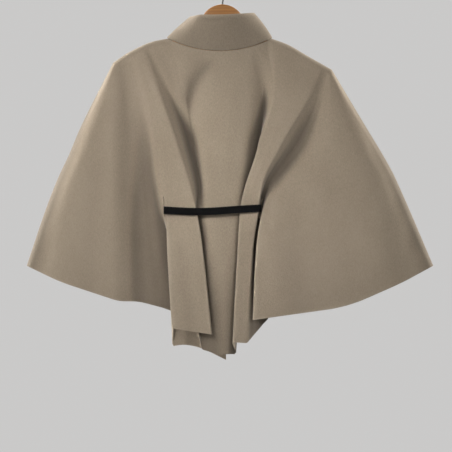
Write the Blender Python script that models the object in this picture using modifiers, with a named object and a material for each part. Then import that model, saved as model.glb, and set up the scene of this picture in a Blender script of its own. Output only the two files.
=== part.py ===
"""A belted wool cape on a wooden hanger, as separate closed solids at real size.

Frame: metres, +Z up. The origin is the inner top of the hanger's hook, where a rail
carries it. The back of the garment faces -Y and its fronts face +Y. The hanger lies
in the plane Y = 0. "Left" and "right" are the wearer's, so left is at -X.
Tables and sizes below are in millimetres; MM turns them into metres.
"""
from collections import namedtuple
import math

import bmesh
import bpy
import numpy as np
from mathutils import Vector

MM = 0.001

# ---------------------------------------------------------------- driving sizes
CLOTH = 2.2            # thickness of the melton
COLLAR_CLOTH = 3.0     # the stand collar is two layers, felted together
SEAM = 0.34            # half the space between two edges that are sewn together
FOLD_RADIUS = 1.7      # tightest bend that the cloth takes, on its middle
ROLL = 10.0            # how far the cloth rounds over at the shoulder and overarm seams

NECK_CENTRE = -5.0     # the neck seam: an oval seen from above
NECK_HALF_WIDTH = 105.0
NECK_DEPTH_BACK = 26.0
NECK_DEPTH_LEFT = 26.0
NECK_DEPTH_RIGHT = 30.5  # the right front laps over the left one
NECK_SIDE_Z = -130.0
NECK_DROP_BACK = 26.0
NECK_DROP_FRONT = 55.0

SHOULDER_LEFT = ((-218, -178), (-188, -158), (-136, -135), (-110, -130))
SHOULDER_RIGHT = ((100, -130), (130, -141), (174, -166), (220, -192))
SHOULDER_PARTS = 24

# How far down the cloth each level lies, from 0 at the neck and shoulder to 1 at the hem.
V_CHEST, V_RIBS, V_WAIST, V_SKIRT = 0.30, 0.44, 0.55, 0.68
V_SLIT_TOP, V_SLIT_FOOT = 0.50, 0.58
V_SOFT = 0.19          # above this level the folds run out softly
SOFT_TOP = 14.0        # the cloth that this adds to a bend at the neck and shoulder

# A level line: its height at the middle, the half-width over which it is level, and how
# much it rises for each millimetre outside that, where the cloth fans out over the arms.
Level = namedtuple("Level", "middle_z flat_half rise")
CHEST = Level(-356, 0, 0.15)
RIBS = Level(-430, 60, 0.26)
WAIST = Level(-475, 115, 0.34)
SKIRT = Level(-545, 110, 0.38)

# One row for each fold line, from side to side. For each level: x, then how far the line
# stands off the hanger's plane (y, towards -Y on the back and +Y on the fronts). `bow` is
# how far the line bows sideways between the neck and the chest, and `lift` how far it
# stands out there. `soft` is the cloth taken up on each side by the bend, `steps` the
# facets round it and `run` the facets on to the next line. A run named in SLITS is cut
# open between the slit's levels.
Fold = namedtuple(
    "Fold", "name top bow lift chest chest_y ribs ribs_y waist waist_y skirt skirt_y"
            " hem hem_z hem_y soft steps run")

BACK = (
    Fold("seam_left",    -218,   0,  0, -286, 10, -308, 10, -326, 10, -347, 10, -392, -586, 10,  0, 0, 2),
    Fold("swell_left",   -215,   0,  0, -262, 28, -278, 33, -292, 36, -306, 38, -322, -618, 40, 24, 2, 1),
    Fold("crest_left",   -211,   0,  0, -211, 36, -210, 39, -209, 42, -208, 44, -206, -656, 47, 12, 2, 1),
    Fold("valley_left",  -200,   0,  0, -178, 20, -176, 23, -174, 25, -170, 26, -166, -657, 29, 14, 2, 1),
    Fold("recess_left",  -186,   0,  0, -150, 21, -145, 22, -140, 23, -134, 23, -114, -671, 24, 12, 2, 1),
    Fold("tuck_left",    -174,   0,  0, -133, 37, -125, 42, -120, 43, -100, 32,  -72, -688, 30,  2, 2, 1),
    Fold("edge_left",    -168,   0,  0, -118, 40, -113, 47, -110, 53, -109, 57, -101, -709, 62,  2, 3, 3),
    Fold("fold_left",    -160,   0,  0,  -90, 44,  -63, 52,  -51, 55,  -38, 60,  -17, -722, 66,  3, 4, 1),
    Fold("under_left",   -152,   0,  0,  -64, 20,  -47, 30,  -53, 40,  -54, 41,  -46, -714, 44,  4, 3, 1),
    Fold("roll_left",     -95,   0, 10,  -58, 19,  -43, 31,  -42, 41,  -40, 42,  -41, -751, 42,  8, 2, 1),
    Fold("dip_left",      -24, -18, -2,  -55, 19,  -40, 33,  -39, 42,  -37, 43,  -37, -753, 43,  5, 2, 2),
    Fold("panel_left",     -2,  -8,  0,  -38, 33,  -33, 43,  -31, 48,  -27, 49,  -17, -759, 48, 12, 2, 2),
    Fold("centre",         22,   0,  0,    0, 38,   -1, 45,   -2, 50,   -4, 51,   -4, -762, 51, 14, 2, 2),
    Fold("panel_right",    54,   9,  0,   46, 36,   38, 44,   32, 47,   27, 49,   18, -761, 49,  8, 2, 1),
    Fold("under_right",    68,  10, -2,   78, 11,   59, 23,   52, 34,   48, 39,   29, -762, 40,  4, 3, 1),
    Fold("fold_right",    100,  16,  0,   72, 46,   45, 53,   35, 56,   30, 60,   21, -737, 64,  3, 4, 5),
    Fold("face_right",    203,   6,  0,  120, 44,   80, 54,   73, 54,   62, 56,   49, -739, 60,  3, 2, 1),
    Fold("tuck_right",    207,   6,  0,  138, 30,   84, 41,   70, 34,   61, 34,   80, -704, 35,  2, 2, 1),
    Fold("turn_right",    210,   4,  0,  154, 24,   95, 36,   83, 32,   84, 33,   94, -690, 33,  2, 2, 1),
    Fold("edge_right",    213,   2,  0,  174, 23,  108, 36,   81, 50,   68, 60,   59, -693, 70,  2, 4, 2),
    Fold("crest_right",   216,   0,  0,  226, 31,  214, 35,  206, 38,  222, 43,  250, -667, 48, 40, 2, 2),
    Fold("swell_right",   218,   0,  0,  266, 27,  290, 31,  304, 33,  324, 36,  356, -621, 38, 24, 2, 1),
    Fold("seam_right",    220,   0,  0,  292, 10,  322, 10,  342, 10,  365, 10,  424, -586, 10,  0, 0, 0),
)
BACK_SLITS = ("tuck_left", "tuck_right")

FRONT_LEFT = (
    Fold("seam_left",    -218,   0,  0, -286, 10, -308, 10, -326, 10, -347, 10, -392, -586, 10,  0, 0, 2),
    Fold("crest_left",   -190,   0,  0, -212, 22, -218, 24, -224, 26, -228, 28, -222, -636, 32, 40, 2, 2),
    Fold("tuck_left",    -150,   0,  0, -130, 22, -122, 25, -120, 27, -104, 26,  -94, -672, 18,  2, 2, 1),
    Fold("fold_left",    -140,   0,  0, -112, 27, -110, 31, -108, 35, -107, 38, -101, -750, 44,  2, 3, 1),
    Fold("ripple_left",  -124,   0,  0,  -92, 25,  -88, 29,  -86, 32,  -84, 33,  -78, -746, 35, 10, 2, 1),
    Fold("ridge_left",   -110,   0,  0,  -64, 30,  -60, 33,  -58, 34,  -57, 37,  -54, -750, 42, 12, 2, 2),
    Fold("lap_left",      -50,   0,  0,  -36, 29,  -36, 31,  -36, 31,  -36, 33,  -34, -756, 35, 10, 2, 2),
    Fold("edge_left",       8,   0,  0,   10, 31,   10, 31,    9, 31,    9, 31,    8, -777, 32,  0, 0, 0),
)
FRONT_RIGHT = (
    Fold("edge_right",    -24,   0,  0,  -24, 35,  -24, 36,  -24, 36,  -24, 37,  -24, -757, 40,  0, 0, 2),
    Fold("lap_right",      30,   0,  0,   24, 34,   22, 36,   22, 36,   22, 38,   20, -744, 42, 12, 2, 3),
    Fold("ridge_right",   100,   0,  0,   56, 28,   50, 32,   50, 34,   46, 38,   36, -728, 46, 12, 2, 1),
    Fold("fold_right",    118,   0,  0,   84, 27,   78, 31,   76, 35,   70, 38,   62, -708, 48,  2, 3, 1),
    Fold("tuck_right",    130,   0,  0,  100, 22,   90, 25,   88, 28,   64, 26,   42, -676, 28,  2, 2, 1),
    Fold("crest_right",   184,   0,  0,  216, 22,  216, 24,  216, 26,  230, 28,  246, -652, 32, 50, 2, 2),
    Fold("seam_right",    220,   0,  0,  292, 10,  322, 10,  342, 10,  365, 10,  424, -586, 10,  0, 0, 0),
)
FRONT_LEFT_SLITS = ("tuck_left",)
FRONT_RIGHT_SLITS = ("fold_right",)

# Levels at which the wall has a row of corners. The first four round over the seams.
ROWS = (0, 0.0005, 0.005, 0.02, 0.07, 0.14, 0.22, V_CHEST, 0.37, V_RIBS,
        V_SLIT_TOP, V_WAIST, V_SLIT_FOOT, 0.63, V_SKIRT, 0.78, 0.89, 1.0)
ROLL_STEPS = (0.22, 2.34, ROLL)   # the same rounding beside the overarm seams

# Stand collar: it leans in towards its top edge.
COLLAR_TOP_CENTRE = -2.5
COLLAR_TOP_HALF_WIDTH = 66.5
COLLAR_TOP_DEPTH_BACK = 40.0
COLLAR_TOP_DEPTH_LEFT = 34.0
COLLAR_TOP_DEPTH_RIGHT = 38.5
COLLAR_TOP_Z = -79.5
COLLAR_TOP_DROP_BACK = 4.0
COLLAR_TOP_DROP_FRONT = 26.0
COLLAR_TILT = 1.5
COLLAR_SWELL = 2.0      # the wall's outward curve between its two edges
COLLAR_ROWS = 5
COLLAR_TURN = 0.25      # widest angle between two of its columns
COLLAR_LIFT, COLLAR_SIDE_LIFT = 0.85, 1.4   # its edge stands this far off the neck seam

# Belt: a leather strap through the four slits, buckled at the centre of the fronts.
BELT_WIDTH = 15.0
BELT_THICK = 2.0
BELT_SLOT = 3.6        # width of the prong's slot and holes
BELT_BEND = 5.0
BELT_Z = -474.0
Stop = namedtuple("Stop", "name x y z bend slotted")
BAR_X, BAR_Y = 12.0, 43.2          # the buckle's heel bar, held in the strap's loop
WRAP = 2.6                         # radius of that loop, on the strap's middle
FRAME_X, FRAME_Y = -12.0, 48.0     # the buckle's outer bar
TAIL_Y = 48.4                      # the strap's tail, over the loop and the keeper
BELT_ROUTE = (
    Stop("return end",        46, BAR_Y - WRAP, BELT_Z, 0, False),
    Stop("slot foot",         17, BAR_Y - WRAP, BELT_Z, 0, True),
    Stop("loop inner",  BAR_X - WRAP, BAR_Y - WRAP, BELT_Z, WRAP, True),
    Stop("loop outer",  BAR_X - WRAP, BAR_Y + WRAP, BELT_Z, WRAP, True),
    Stop("slot head",         17, BAR_Y + WRAP, BELT_Z, 0, False),
    Stop("keeper",            48, BAR_Y + WRAP, BELT_Z, 6, False),
    Stop("settle",            63, 40.8, BELT_Z, 10, False),
    Stop("front right",     80.5, 40.4, -473, BELT_BEND, False),
    Stop("inside right",    78.0, 0, -471, 0, False),
    Stop("back right",      76.6, -59.4, -470.5, BELT_BEND, False),
    Stop("pleat right",       40, -60.2, -472.5, 20, False),
    Stop("back middle",      -20, -60.4, -477, 30, False),
    Stop("pleat left",       -62, -59.8, -477.5, 20, False),
    Stop("back left",     -115.4, -58.6, -474.5, BELT_BEND, False),
    Stop("inside left",     -114, 0, -473, 0, False),
    Stop("front left",    -113.4, 40.0, BELT_Z, BELT_BEND, False),
    Stop("over left",        -36, 40.4, BELT_Z, 20, False),
    Stop("under frame",      -14, 44.0, BELT_Z, 8, False),
    Stop("hole start",        -5, 45.9, BELT_Z, 0, True),
    Stop("hole end",           5, 47.6, BELT_Z, 0, False),
    Stop("over loop",         10, TAIL_Y, BELT_Z, 8, False),
    Stop("over keeper",       48, TAIL_Y, BELT_Z, 8, False),
    Stop("tail lies down",    63, 43.5, BELT_Z, 10, False),
    Stop("second hole",       72, 43.3, BELT_Z, 0, True),
    Stop("second hole end", 75.6, 43.3, BELT_Z, 0, False),
    Stop("tip shoulder",      90, 43.2, BELT_Z, 0, False),
    Stop("tip",               97, 43.2, BELT_Z, 0, False),
)
BELT_STRETCH = 26.0    # longest facet along the strap
TIP_LENGTH = 7.0
TIP_SHARES = (0.45, 0.8, 1.0)      # the columns that round the tip
TIP_BLUNT = 0.4                    # half-width left at its very end, as a share
BEND_STEPS = 4

WIRE = 1.25            # radius of the buckle's wire
WIRE_BEND = 3.0
PRONG = 0.9
PRONG_BEND = 1.6
PRONG_RISE = ((2.4, 0.9), (-1.6, 6.7))    # x, and how far it stands out from the heel bar
PRONG_TIP = 3.0        # how far it reaches past the outer bar
BUCKLE_HALF_HEIGHT = 10.5
KEEPER_X = 40.0
KEEPER_WIDTH = 8.0
KEEPER_THICK = 1.5
KEEPER_ROOM = 0.5
KEEPER_BEND = 1.4
CLEAR = 0.35           # space between two pieces that lie on each other

# Hanger: a flat wooden arm with a round head, and a steel hook screwed into it.
HANGER_THICK = 11.0
HANGER_EDGE = 4.6      # radius that rounds its edges
HANGER_UNDER = 2.3     # its top edge lies this far below the middle of the cloth
HEAD_X, HEAD_Z, HEAD_RADIUS = 1.0, -105.0, 45.0
HEAD_START, HEAD_STEP = -15, 15    # degrees round the head, between its facets
NECK_JOIN_X, NECK_JOIN_Z = 62.0, -126.0   # where each arm runs into the head
ARM_DEPTH_NECK, ARM_DEPTH_TIP = 36.0, 24.0
ARM_PARTS = 9
NECK_DIP = 2.6         # the arm keeps clear of the neck seam by this much more
SLOPE = 1.12           # a drop square to the sloping arm, as an upright one
HOOK_WIRE = 1.9
HOOK_RADIUS = 20.0     # inside its bend
HOOK_SEAT = 24.0       # how deep its stem sits in the wood
HOOK_BORE = 2.3
BORE_RUNOUT = 10.0     # the cutter reaches this far out of the wood
HOOK_STEM = ((0, -72), (0, -56), (1.2, -49.5), (5, -44))   # x from the stem's foot, z
HOOK_FROM, HOOK_TO, HOOK_STEP = -60, 205, 12               # degrees round the hook

WOOL_COLOUR = (0.37, 0.29, 0.21, 1)
LEATHER_COLOUR = (0.012, 0.010, 0.012, 1)
WOOD_COLOUR = (0.50, 0.19, 0.04, 1)
STEEL_COLOUR = (0.62, 0.62, 0.60, 1)


# ---------------------------------------------------------------- scene helpers
def clear_scene():
    for obj in list(bpy.data.objects):
        bpy.data.objects.remove(obj, do_unlink=True)


def new_collection(name):
    collection = bpy.data.collections.new(name)
    bpy.context.scene.collection.children.link(collection)
    return collection


def material(name, colour, roughness, metallic=0.0):
    mat = bpy.data.materials.new(name)
    mat.use_nodes = True
    shader = mat.node_tree.nodes["Principled BSDF"]
    shader.inputs["Base Color"].default_value = colour
    shader.inputs["Roughness"].default_value = roughness
    shader.inputs["Metallic"].default_value = metallic
    return mat


def adopt(obj, name, collection, mat):
    """Names an object, gives it its material and moves it into its collection."""
    obj.name = name
    obj.data.name = name
    for other in list(obj.users_collection):
        other.objects.unlink(obj)
    collection.objects.link(obj)
    if mat:
        obj.data.materials.append(mat)
    return obj


def grid(columns, rows, place, cut=()):
    """A grid of columns x rows corners, each put where place[row, column] says (mm).

    Cells listed in `cut` as (row, column) are taken out, which leaves slits.
    """
    bpy.ops.object.select_all(action="DESELECT")
    bpy.ops.mesh.primitive_grid_add(x_subdivisions=columns - 1, y_subdivisions=rows - 1, size=1)
    obj = bpy.context.active_object
    mesh = obj.data
    order = [0] * len(mesh.vertices)
    for index, vertex in enumerate(mesh.vertices):
        column = round((vertex.co.x + 0.5) * (columns - 1))
        row = round((vertex.co.y + 0.5) * (rows - 1))
        order[index] = row * columns + column
    cells = place.reshape(-1, 3)
    for vertex, at in zip(mesh.vertices, order):
        vertex.co = Vector(cells[at]) * MM
    if cut:
        remove_cells(mesh, order, columns, set(cut))
    mesh.update()
    return obj


def remove_cells(mesh, order, columns, cut):
    bpy.ops.object.mode_set(mode="EDIT")
    bpy.ops.mesh.select_mode(type="FACE")
    bpy.ops.mesh.select_all(action="DESELECT")
    bpy.ops.object.mode_set(mode="OBJECT")
    for polygon in mesh.polygons:
        corner = min(order[index] for index in polygon.vertices)
        polygon.select = divmod(corner, columns) in cut
    bpy.ops.object.mode_set(mode="EDIT")
    bpy.ops.mesh.delete(type="FACE")
    bpy.ops.object.mode_set(mode="OBJECT")


def thicken(obj, thickness):
    """Turns an open surface into a wall that lies half on each side of it."""
    wall = obj.modifiers.new("wall", "SOLIDIFY")
    wall.thickness = thickness * MM
    wall.offset = 0
    wall.use_even_offset = True
    wall.use_quality_normals = True
    for polygon in obj.data.polygons:
        polygon.use_smooth = True
    return obj


# ---------------------------------------------------------------- lines and bends
def along(knots, values, at):
    """A smooth curve through `values` at `knots` that never overshoots them."""
    knots = np.asarray(knots, float)
    values = np.asarray(values, float)
    step = np.diff(knots)
    slope = np.diff(values) / step
    tangent = np.zeros(len(knots))
    tangent[0], tangent[-1] = slope[0], slope[-1]
    for i in range(1, len(knots) - 1):
        if slope[i - 1] * slope[i] > 0:
            near, far = 2 * step[i] + step[i - 1], step[i] + 2 * step[i - 1]
            tangent[i] = (near + far) / (near / slope[i - 1] + far / slope[i])
    i = int(np.clip(np.searchsorted(knots, at) - 1, 0, len(step) - 1))
    t = (at - knots[i]) / step[i]
    return ((1 + 2 * t) * (1 - t) ** 2 * values[i] + t * (1 - t) ** 2 * step[i] * tangent[i]
            + t * t * (3 - 2 * t) * values[i + 1] + t * t * (t - 1) * step[i] * tangent[i + 1])


def bend(before, corner, after, soft, steps, radius, plane=2):
    """Points of a round bend at `corner`: `steps` facets between its two tangent points.

    Angles and lengths are those seen from above, or in space where `plane` is 3.
    """
    if steps == 0:
        return [corner]
    back, on = before - corner, after - corner
    back_length, on_length = np.linalg.norm(back[:plane]), np.linalg.norm(on[:plane])
    back, on = back / back_length, on / on_length
    half = 0.5 * math.acos(float(np.clip(np.dot(back[:plane], on[:plane]), -1, 1)))
    tangent = max(soft, radius / max(math.tan(half), 1e-3))
    tangent = min(tangent, 0.45 * back_length, 0.45 * on_length)
    start, end = corner + back * tangent, corner + on * tangent
    weight = math.sin(half)
    points = []
    for i in range(steps + 1):
        t = i / steps
        a, b, c = (1 - t) ** 2, 2 * t * (1 - t) * weight, t * t
        points.append((a * start + b * corner + c * end) / (a + b + c))
    return points


def level_z(level, x):
    return level.middle_z + level.rise * max(0.0, abs(x) - level.flat_half)


def shoulder_z(x):
    line = SHOULDER_LEFT if x < 0 else SHOULDER_RIGHT
    xs, zs = zip(*line)
    return float(along(xs, zs, x))


def top_edge(x, neck_depth, neck_drop):
    """Distance from the hanger's plane, and height, of a panel's top edge at x."""
    t = (x - NECK_CENTRE) / NECK_HALF_WIDTH
    if abs(t) >= 1:
        return ROLL, shoulder_z(x)
    return max(ROLL, neck_depth * math.sqrt(1 - t * t)), NECK_SIDE_Z - neck_drop * (1 - t * t)


def shoulder_points(line):
    xs = np.linspace(line[0][0], line[-1][0], SHOULDER_PARTS + 1)
    return [(x, shoulder_z(x)) for x in xs]


def to_shoulder(x, z):
    """Distance from a point to the shoulder seams, seen from the front."""
    best = 1e9
    for points in SEAM_LINES:
        for (ax, az), (bx, bz) in zip(points, points[1:]):
            dx, dz = bx - ax, bz - az
            t = ((x - ax) * dx + (z - az) * dz) / (dx * dx + dz * dz)
            t = min(1.0, max(0.0, t))
            best = min(best, math.hypot(x - ax - t * dx, z - az - t * dz))
    return best


SEAM_LINES = (shoulder_points(SHOULDER_LEFT), shoulder_points(SHOULDER_RIGHT))


def rolled(distance):
    """How far the cloth has rounded over at this distance from a seam, from 0 to 1."""
    t = min(1.0, distance / ROLL)
    return math.sqrt(1 - (1 - t) ** 2)


# ---------------------------------------------------------------- panels
def ring(folds, v, neck_depth, neck_drop):
    """One row of a panel from side to side, as (x, distance from the plane, z)."""
    corners = []
    knots = (0, V_CHEST, V_RIBS, V_WAIST, V_SKIRT, 1)
    for f in folds:
        top_y, top_z = top_edge(f.top, neck_depth, neck_drop)
        xs = (f.top, f.chest, f.ribs, f.waist, f.skirt, f.hem)
        ys = (top_y, f.chest_y, f.ribs_y, f.waist_y, f.skirt_y, f.hem_y)
        zs = (top_z, level_z(CHEST, f.chest), level_z(RIBS, f.ribs),
              level_z(WAIST, f.waist), level_z(SKIRT, f.skirt), f.hem_z)
        corner = np.array([along(knots, part, v) for part in (xs, ys, zs)])
        share = min(1.0, v / V_CHEST)
        midway = (4 * share * (1 - share)) ** 2
        corner += midway * np.array((f.bow, 2 * (1 - share) * f.lift, 0))
        corners.append(corner)
    more_soft = SOFT_TOP * max(0.0, 1 - v / V_SOFT) ** 2
    bends = []
    for i, f in enumerate(folds):
        before, after = corners[max(i - 1, 0)], corners[min(i + 1, len(folds) - 1)]
        soft = f.soft + more_soft
        bends.append(bend(before, corners[i], after, soft, f.steps, FOLD_RADIUS))
    row = []
    for i, f in enumerate(folds):
        row += bends[i]
        if i + 1 == len(folds):
            break
        start, end = bends[i][-1], bends[i + 1][0]
        length = np.linalg.norm(end - start)
        shares = [j / f.run for j in range(1, f.run)]
        rolls = [min(step / length, 0.2 * (k + 1)) for k, step in enumerate(ROLL_STEPS)]
        if f.name.startswith("seam"):
            shares = rolls + [rolls[-1] + share * (1 - rolls[-1]) for share in shares]
        if folds[i + 1].name.startswith("seam"):
            shares = [share * (1 - rolls[-1]) for share in shares] + [1 - r for r in reversed(rolls)]
        row += [start + share * (end - start) for share in shares]
    return np.array(row)


def cut_column(folds, name):
    """Which column of cells follows the bend of the fold called `name`."""
    column = 0
    for f, after in zip(folds, folds[1:]):
        column += f.steps
        if f.name == name:
            return column
        column += f.run
        if "seam" in f.name or "seam" in after.name:
            column += len(ROLL_STEPS)
    raise ValueError(name)


def panel_points(folds, neck_depth, neck_drop, side):
    """Corners of a panel, [row, column, xyz] in mm. `side` is -1 on the back, +1 in front."""
    rings = np.array([ring(folds, v, neck_depth, neck_drop) for v in ROWS])
    top = rings[0].copy()
    lift = np.zeros_like(top)
    for column, (x, y, z) in enumerate(top):
        edge_y, edge_z = top_edge(x, neck_depth, neck_drop)
        lift[column] = (0, edge_y - y, edge_z - z)
    points = rings.copy()
    for row, v in enumerate(ROWS):
        fade = max(0.0, 1 - v / V_CHEST) ** 2
        points[row] += lift * fade
    for row in range(len(ROWS)):
        for column in range(points.shape[1]):
            x, y, z = points[row, column]
            reach = to_shoulder(x, z)
            if "seam_left" in folds[0].name:
                reach = min(reach, math.dist((x, z), points[row, 0, ::2]))
            if "seam_right" in folds[-1].name:
                reach = min(reach, math.dist((x, z), points[row, -1, ::2]))
            points[row, column, 1] = side * (SEAM + y * rolled(reach))
    return points


def panel(name, folds, slits, neck_depth, neck_drop, side, collection, mat):
    points = panel_points(folds, neck_depth, neck_drop, side)
    rows, columns = points.shape[:2]
    top, foot = ROWS.index(V_SLIT_TOP), ROWS.index(V_SLIT_FOOT)
    cut = [(row, cut_column(folds, slit)) for slit in slits for row in range(top, foot)]
    if side > 0:
        points = points[:, ::-1]
        cut = [(row, columns - 2 - column) for row, column in cut]
    obj = grid(columns, rows, points, cut)
    thicken(obj, CLOTH)
    return adopt(obj, name, collection, mat)


# ---------------------------------------------------------------- collar
def collar_ends(angle):
    """A column's two ends: on the neck seam and on the top edge. The angle runs from the
    left front round the back to the right front."""
    side, out = math.cos(angle), math.sin(angle)
    if out < 0:
        base_depth, top_depth = NECK_DEPTH_BACK, COLLAR_TOP_DEPTH_BACK
        base_drop, top_drop = NECK_DROP_BACK, COLLAR_TOP_DROP_BACK
    else:
        right = angle > math.pi
        base_depth = NECK_DEPTH_RIGHT if right else NECK_DEPTH_LEFT
        top_depth = COLLAR_TOP_DEPTH_RIGHT if right else COLLAR_TOP_DEPTH_LEFT
        base_drop, top_drop = NECK_DROP_FRONT, COLLAR_TOP_DROP_FRONT
    lift = COLLAR_LIFT + COLLAR_SIDE_LIFT * side ** 4
    base = np.array((NECK_CENTRE + NECK_HALF_WIDTH * side, base_depth * out,
                     NECK_SIDE_Z - base_drop * out * out + lift))
    top = np.array((COLLAR_TOP_CENTRE + COLLAR_TOP_HALF_WIDTH * side, top_depth * out,
                    COLLAR_TOP_Z - top_drop * out * out + COLLAR_TILT * side))
    return base, top


def neck_angles():
    """Where the columns of the three panels' neck edges meet the collar."""
    def turn(folds, depth, drop):
        ts = [(x - NECK_CENTRE) / NECK_HALF_WIDTH for x in ring(folds, 0, depth, drop)[:, 0]]
        return [math.acos(t) for t in ts if abs(t) < 0.99]
    left = turn(FRONT_LEFT, NECK_DEPTH_LEFT, NECK_DROP_FRONT)[::-1]
    back = turn(BACK, NECK_DEPTH_BACK, NECK_DROP_BACK)
    right = turn(FRONT_RIGHT, NECK_DEPTH_RIGHT, NECK_DROP_FRONT)[::-1]
    angles = left + [math.pi] + [2 * math.pi - a for a in back]
    return angles + [2 * math.pi] + [2 * math.pi + a for a in right]


def collar(collection, mat):
    met = neck_angles()
    edge = np.array([collar_ends(angle)[0] for angle in met])
    angles = []
    for near, far in zip(met, met[1:]):
        parts = math.ceil((far - near) / COLLAR_TURN)
        angles += [near + (far - near) * i / parts for i in range(parts)]
    angles.append(met[-1])
    points = np.zeros((COLLAR_ROWS, len(angles), 3))
    for column, angle in enumerate(angles):
        base = np.array([np.interp(angle, met, edge[:, axis]) for axis in range(3)])
        top = collar_ends(angle)[1]
        out = np.array((math.cos(angle), math.sin(angle), 0))
        for row in range(COLLAR_ROWS):
            height = row / (COLLAR_ROWS - 1)
            swell = COLLAR_SWELL * 4 * height * (1 - height)
            points[row, column] = base + (top - base) * height + swell * out
    obj = grid(len(angles), COLLAR_ROWS, points)
    thicken(obj, COLLAR_CLOTH)
    return adopt(obj, "stand_collar", collection, mat)


# ---------------------------------------------------------------- belt
def belt_rows():
    """The strap's middle line, with a mark on each stretch that has a slot in it."""
    at = [np.array((s.x, s.y, s.z), float) for s in BELT_ROUTE]
    rows, slotted = [], []
    for i, stop in enumerate(BELT_ROUTE):
        if stop.bend:
            points = bend(at[i - 1], at[i], at[i + 1], stop.bend, BEND_STEPS, WRAP)
        else:
            points = [at[i]]
        rows += points
        slotted += [stop.slotted] * len(points)
        if i + 1 < len(BELT_ROUTE):
            after = BELT_ROUTE[i + 1]
            end = at[i + 1]
            if after.bend:
                end = bend(at[i], at[i + 1], at[i + 2], after.bend, BEND_STEPS, WRAP)[0]
            parts = math.ceil(np.linalg.norm(end - points[-1]) / BELT_STRETCH)
            rows += [points[-1] + (end - points[-1]) * j / parts for j in range(1, parts)]
            slotted += [stop.slotted] * (parts - 1)
    return rows, slotted


def belt(collection, mat):
    rows, slotted = belt_rows()
    tip = rows.pop()
    slotted.pop()
    shoulder = rows[-1]
    rows += [shoulder + (tip - shoulder) * share for share in TIP_SHARES]
    slotted += [False] * len(TIP_SHARES)
    points = np.zeros((4, len(rows), 3))
    for column, middle in enumerate(rows):
        left = np.linalg.norm(tip - middle) / TIP_LENGTH
        half = BELT_WIDTH / 2
        if column >= len(rows) - len(TIP_SHARES) and left < 1:
            half *= max(TIP_BLUNT, math.sqrt(1 - (1 - left) ** 2))
        for row, up in enumerate((-half, -BELT_SLOT / 2, BELT_SLOT / 2, half)):
            points[row, column] = middle + np.array((0, 0, up))
    cut = [(1, column) for column in range(len(rows) - 1) if slotted[column]]
    obj = grid(len(rows), 4, points, cut)
    thicken(obj, BELT_THICK)
    return adopt(obj, "belt_strap", collection, mat)


def wire(name, points, radius, cyclic, collection, mat, resolution=2):
    curve = bpy.data.curves.new(name, "CURVE")
    curve.dimensions = "3D"
    curve.bevel_depth = radius * MM
    curve.bevel_resolution = resolution
    curve.use_fill_caps = not cyclic
    spline = curve.splines.new("POLY")
    spline.points.add(len(points) - 1)
    for target, at in zip(spline.points, points):
        target.co = (*(Vector(at) * MM), 1)
    spline.use_cyclic_u = cyclic
    obj = bpy.data.objects.new(name, curve)
    bpy.context.scene.collection.objects.link(obj)
    return adopt(obj, name, collection, mat)


def rounded(points, bend_radius, steps, cyclic):
    """A polyline with each inner corner turned into a round bend."""
    at = [np.array(p, float) for p in points]
    count = len(at)
    result = []
    for i, corner in enumerate(at):
        if not cyclic and i in (0, count - 1):
            result.append(corner)
            continue
        result += bend(at[i - 1], corner, at[(i + 1) % count], bend_radius, steps, 0, 3)
    return result


def buckle(collection, mat):
    high, low = BELT_Z + BUCKLE_HALF_HEIGHT, BELT_Z - BUCKLE_HALF_HEIGHT
    corners = ((BAR_X, BAR_Y, low), (BAR_X, BAR_Y, high),
               (FRAME_X, FRAME_Y, high), (FRAME_X, FRAME_Y, low))
    frame = rounded(corners, WIRE_BEND, 3, True)
    wire("belt_buckle_frame", frame, WIRE, True, collection, mat)
    eye = WIRE + CLEAR + PRONG      # the prong's eye goes round the heel bar
    rest_y = FRAME_Y + eye
    route = [(BAR_X + 1.5, BAR_Y - eye), (BAR_X - eye, BAR_Y - eye),
             (BAR_X - eye, BAR_Y + PRONG_RISE[0][1])]
    route += [(x, BAR_Y + rise) for x, rise in PRONG_RISE]
    route += [(FRAME_X, rest_y), (FRAME_X - PRONG_TIP, rest_y - 0.4)]
    points = rounded([(x, y, BELT_Z) for x, y in route], PRONG_BEND, 3, False)
    wire("belt_buckle_prong", points, PRONG, False, collection, mat)


def keeper(collection, mat):
    """A leather loop round the strap's three layers beside the buckle."""
    grow = BELT_THICK / 2 + KEEPER_ROOM + KEEPER_THICK / 2
    inner, outer = BAR_Y - WRAP - grow, TAIL_Y + grow
    half = BELT_WIDTH / 2 + KEEPER_ROOM + KEEPER_THICK / 2
    low, high = BELT_Z - half, BELT_Z + half
    corners = ((0, inner, low), (0, outer, low), (0, outer, high), (0, inner, high))
    path = rounded(corners, KEEPER_BEND, 3, True)
    bpy.ops.object.select_all(action="DESELECT")
    bpy.ops.mesh.primitive_cylinder_add(
        vertices=len(path), radius=1, depth=2, end_fill_type="NOTHING", rotation=(0, 0, 0))
    obj = bpy.context.active_object
    turn = 2 * math.pi / len(path)
    for vertex in obj.data.vertices:
        angle = math.atan2(vertex.co.x, vertex.co.y)
        at = path[round(angle / turn) % len(path)]
        x = KEEPER_X + math.copysign(KEEPER_WIDTH / 2, vertex.co.z)
        vertex.co = Vector((x, at[1], at[2])) * MM
    bpy.ops.object.mode_set(mode="EDIT")
    bpy.ops.mesh.select_all(action="SELECT")
    bpy.ops.mesh.normals_make_consistent(inside=False)
    bpy.ops.object.mode_set(mode="OBJECT")
    thicken(obj, KEEPER_THICK)
    return adopt(obj, "belt_keeper", collection, mat)


# ---------------------------------------------------------------- hanger
def arm_line(line, drop_neck, drop_tip):
    """The shoulder line moved down, from its neck end to its tip."""
    ends = sorted((line[0][0], line[-1][0]), key=abs)
    points = []
    for i in range(ARM_PARTS + 1):
        share = i / ARM_PARTS
        x = ends[0] + (ends[1] - ends[0]) * share
        dip = NECK_DIP * max(0.0, 1 - i)
        points.append((x, shoulder_z(x) - dip - drop_neck - (drop_tip - drop_neck) * share))
    return points


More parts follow.
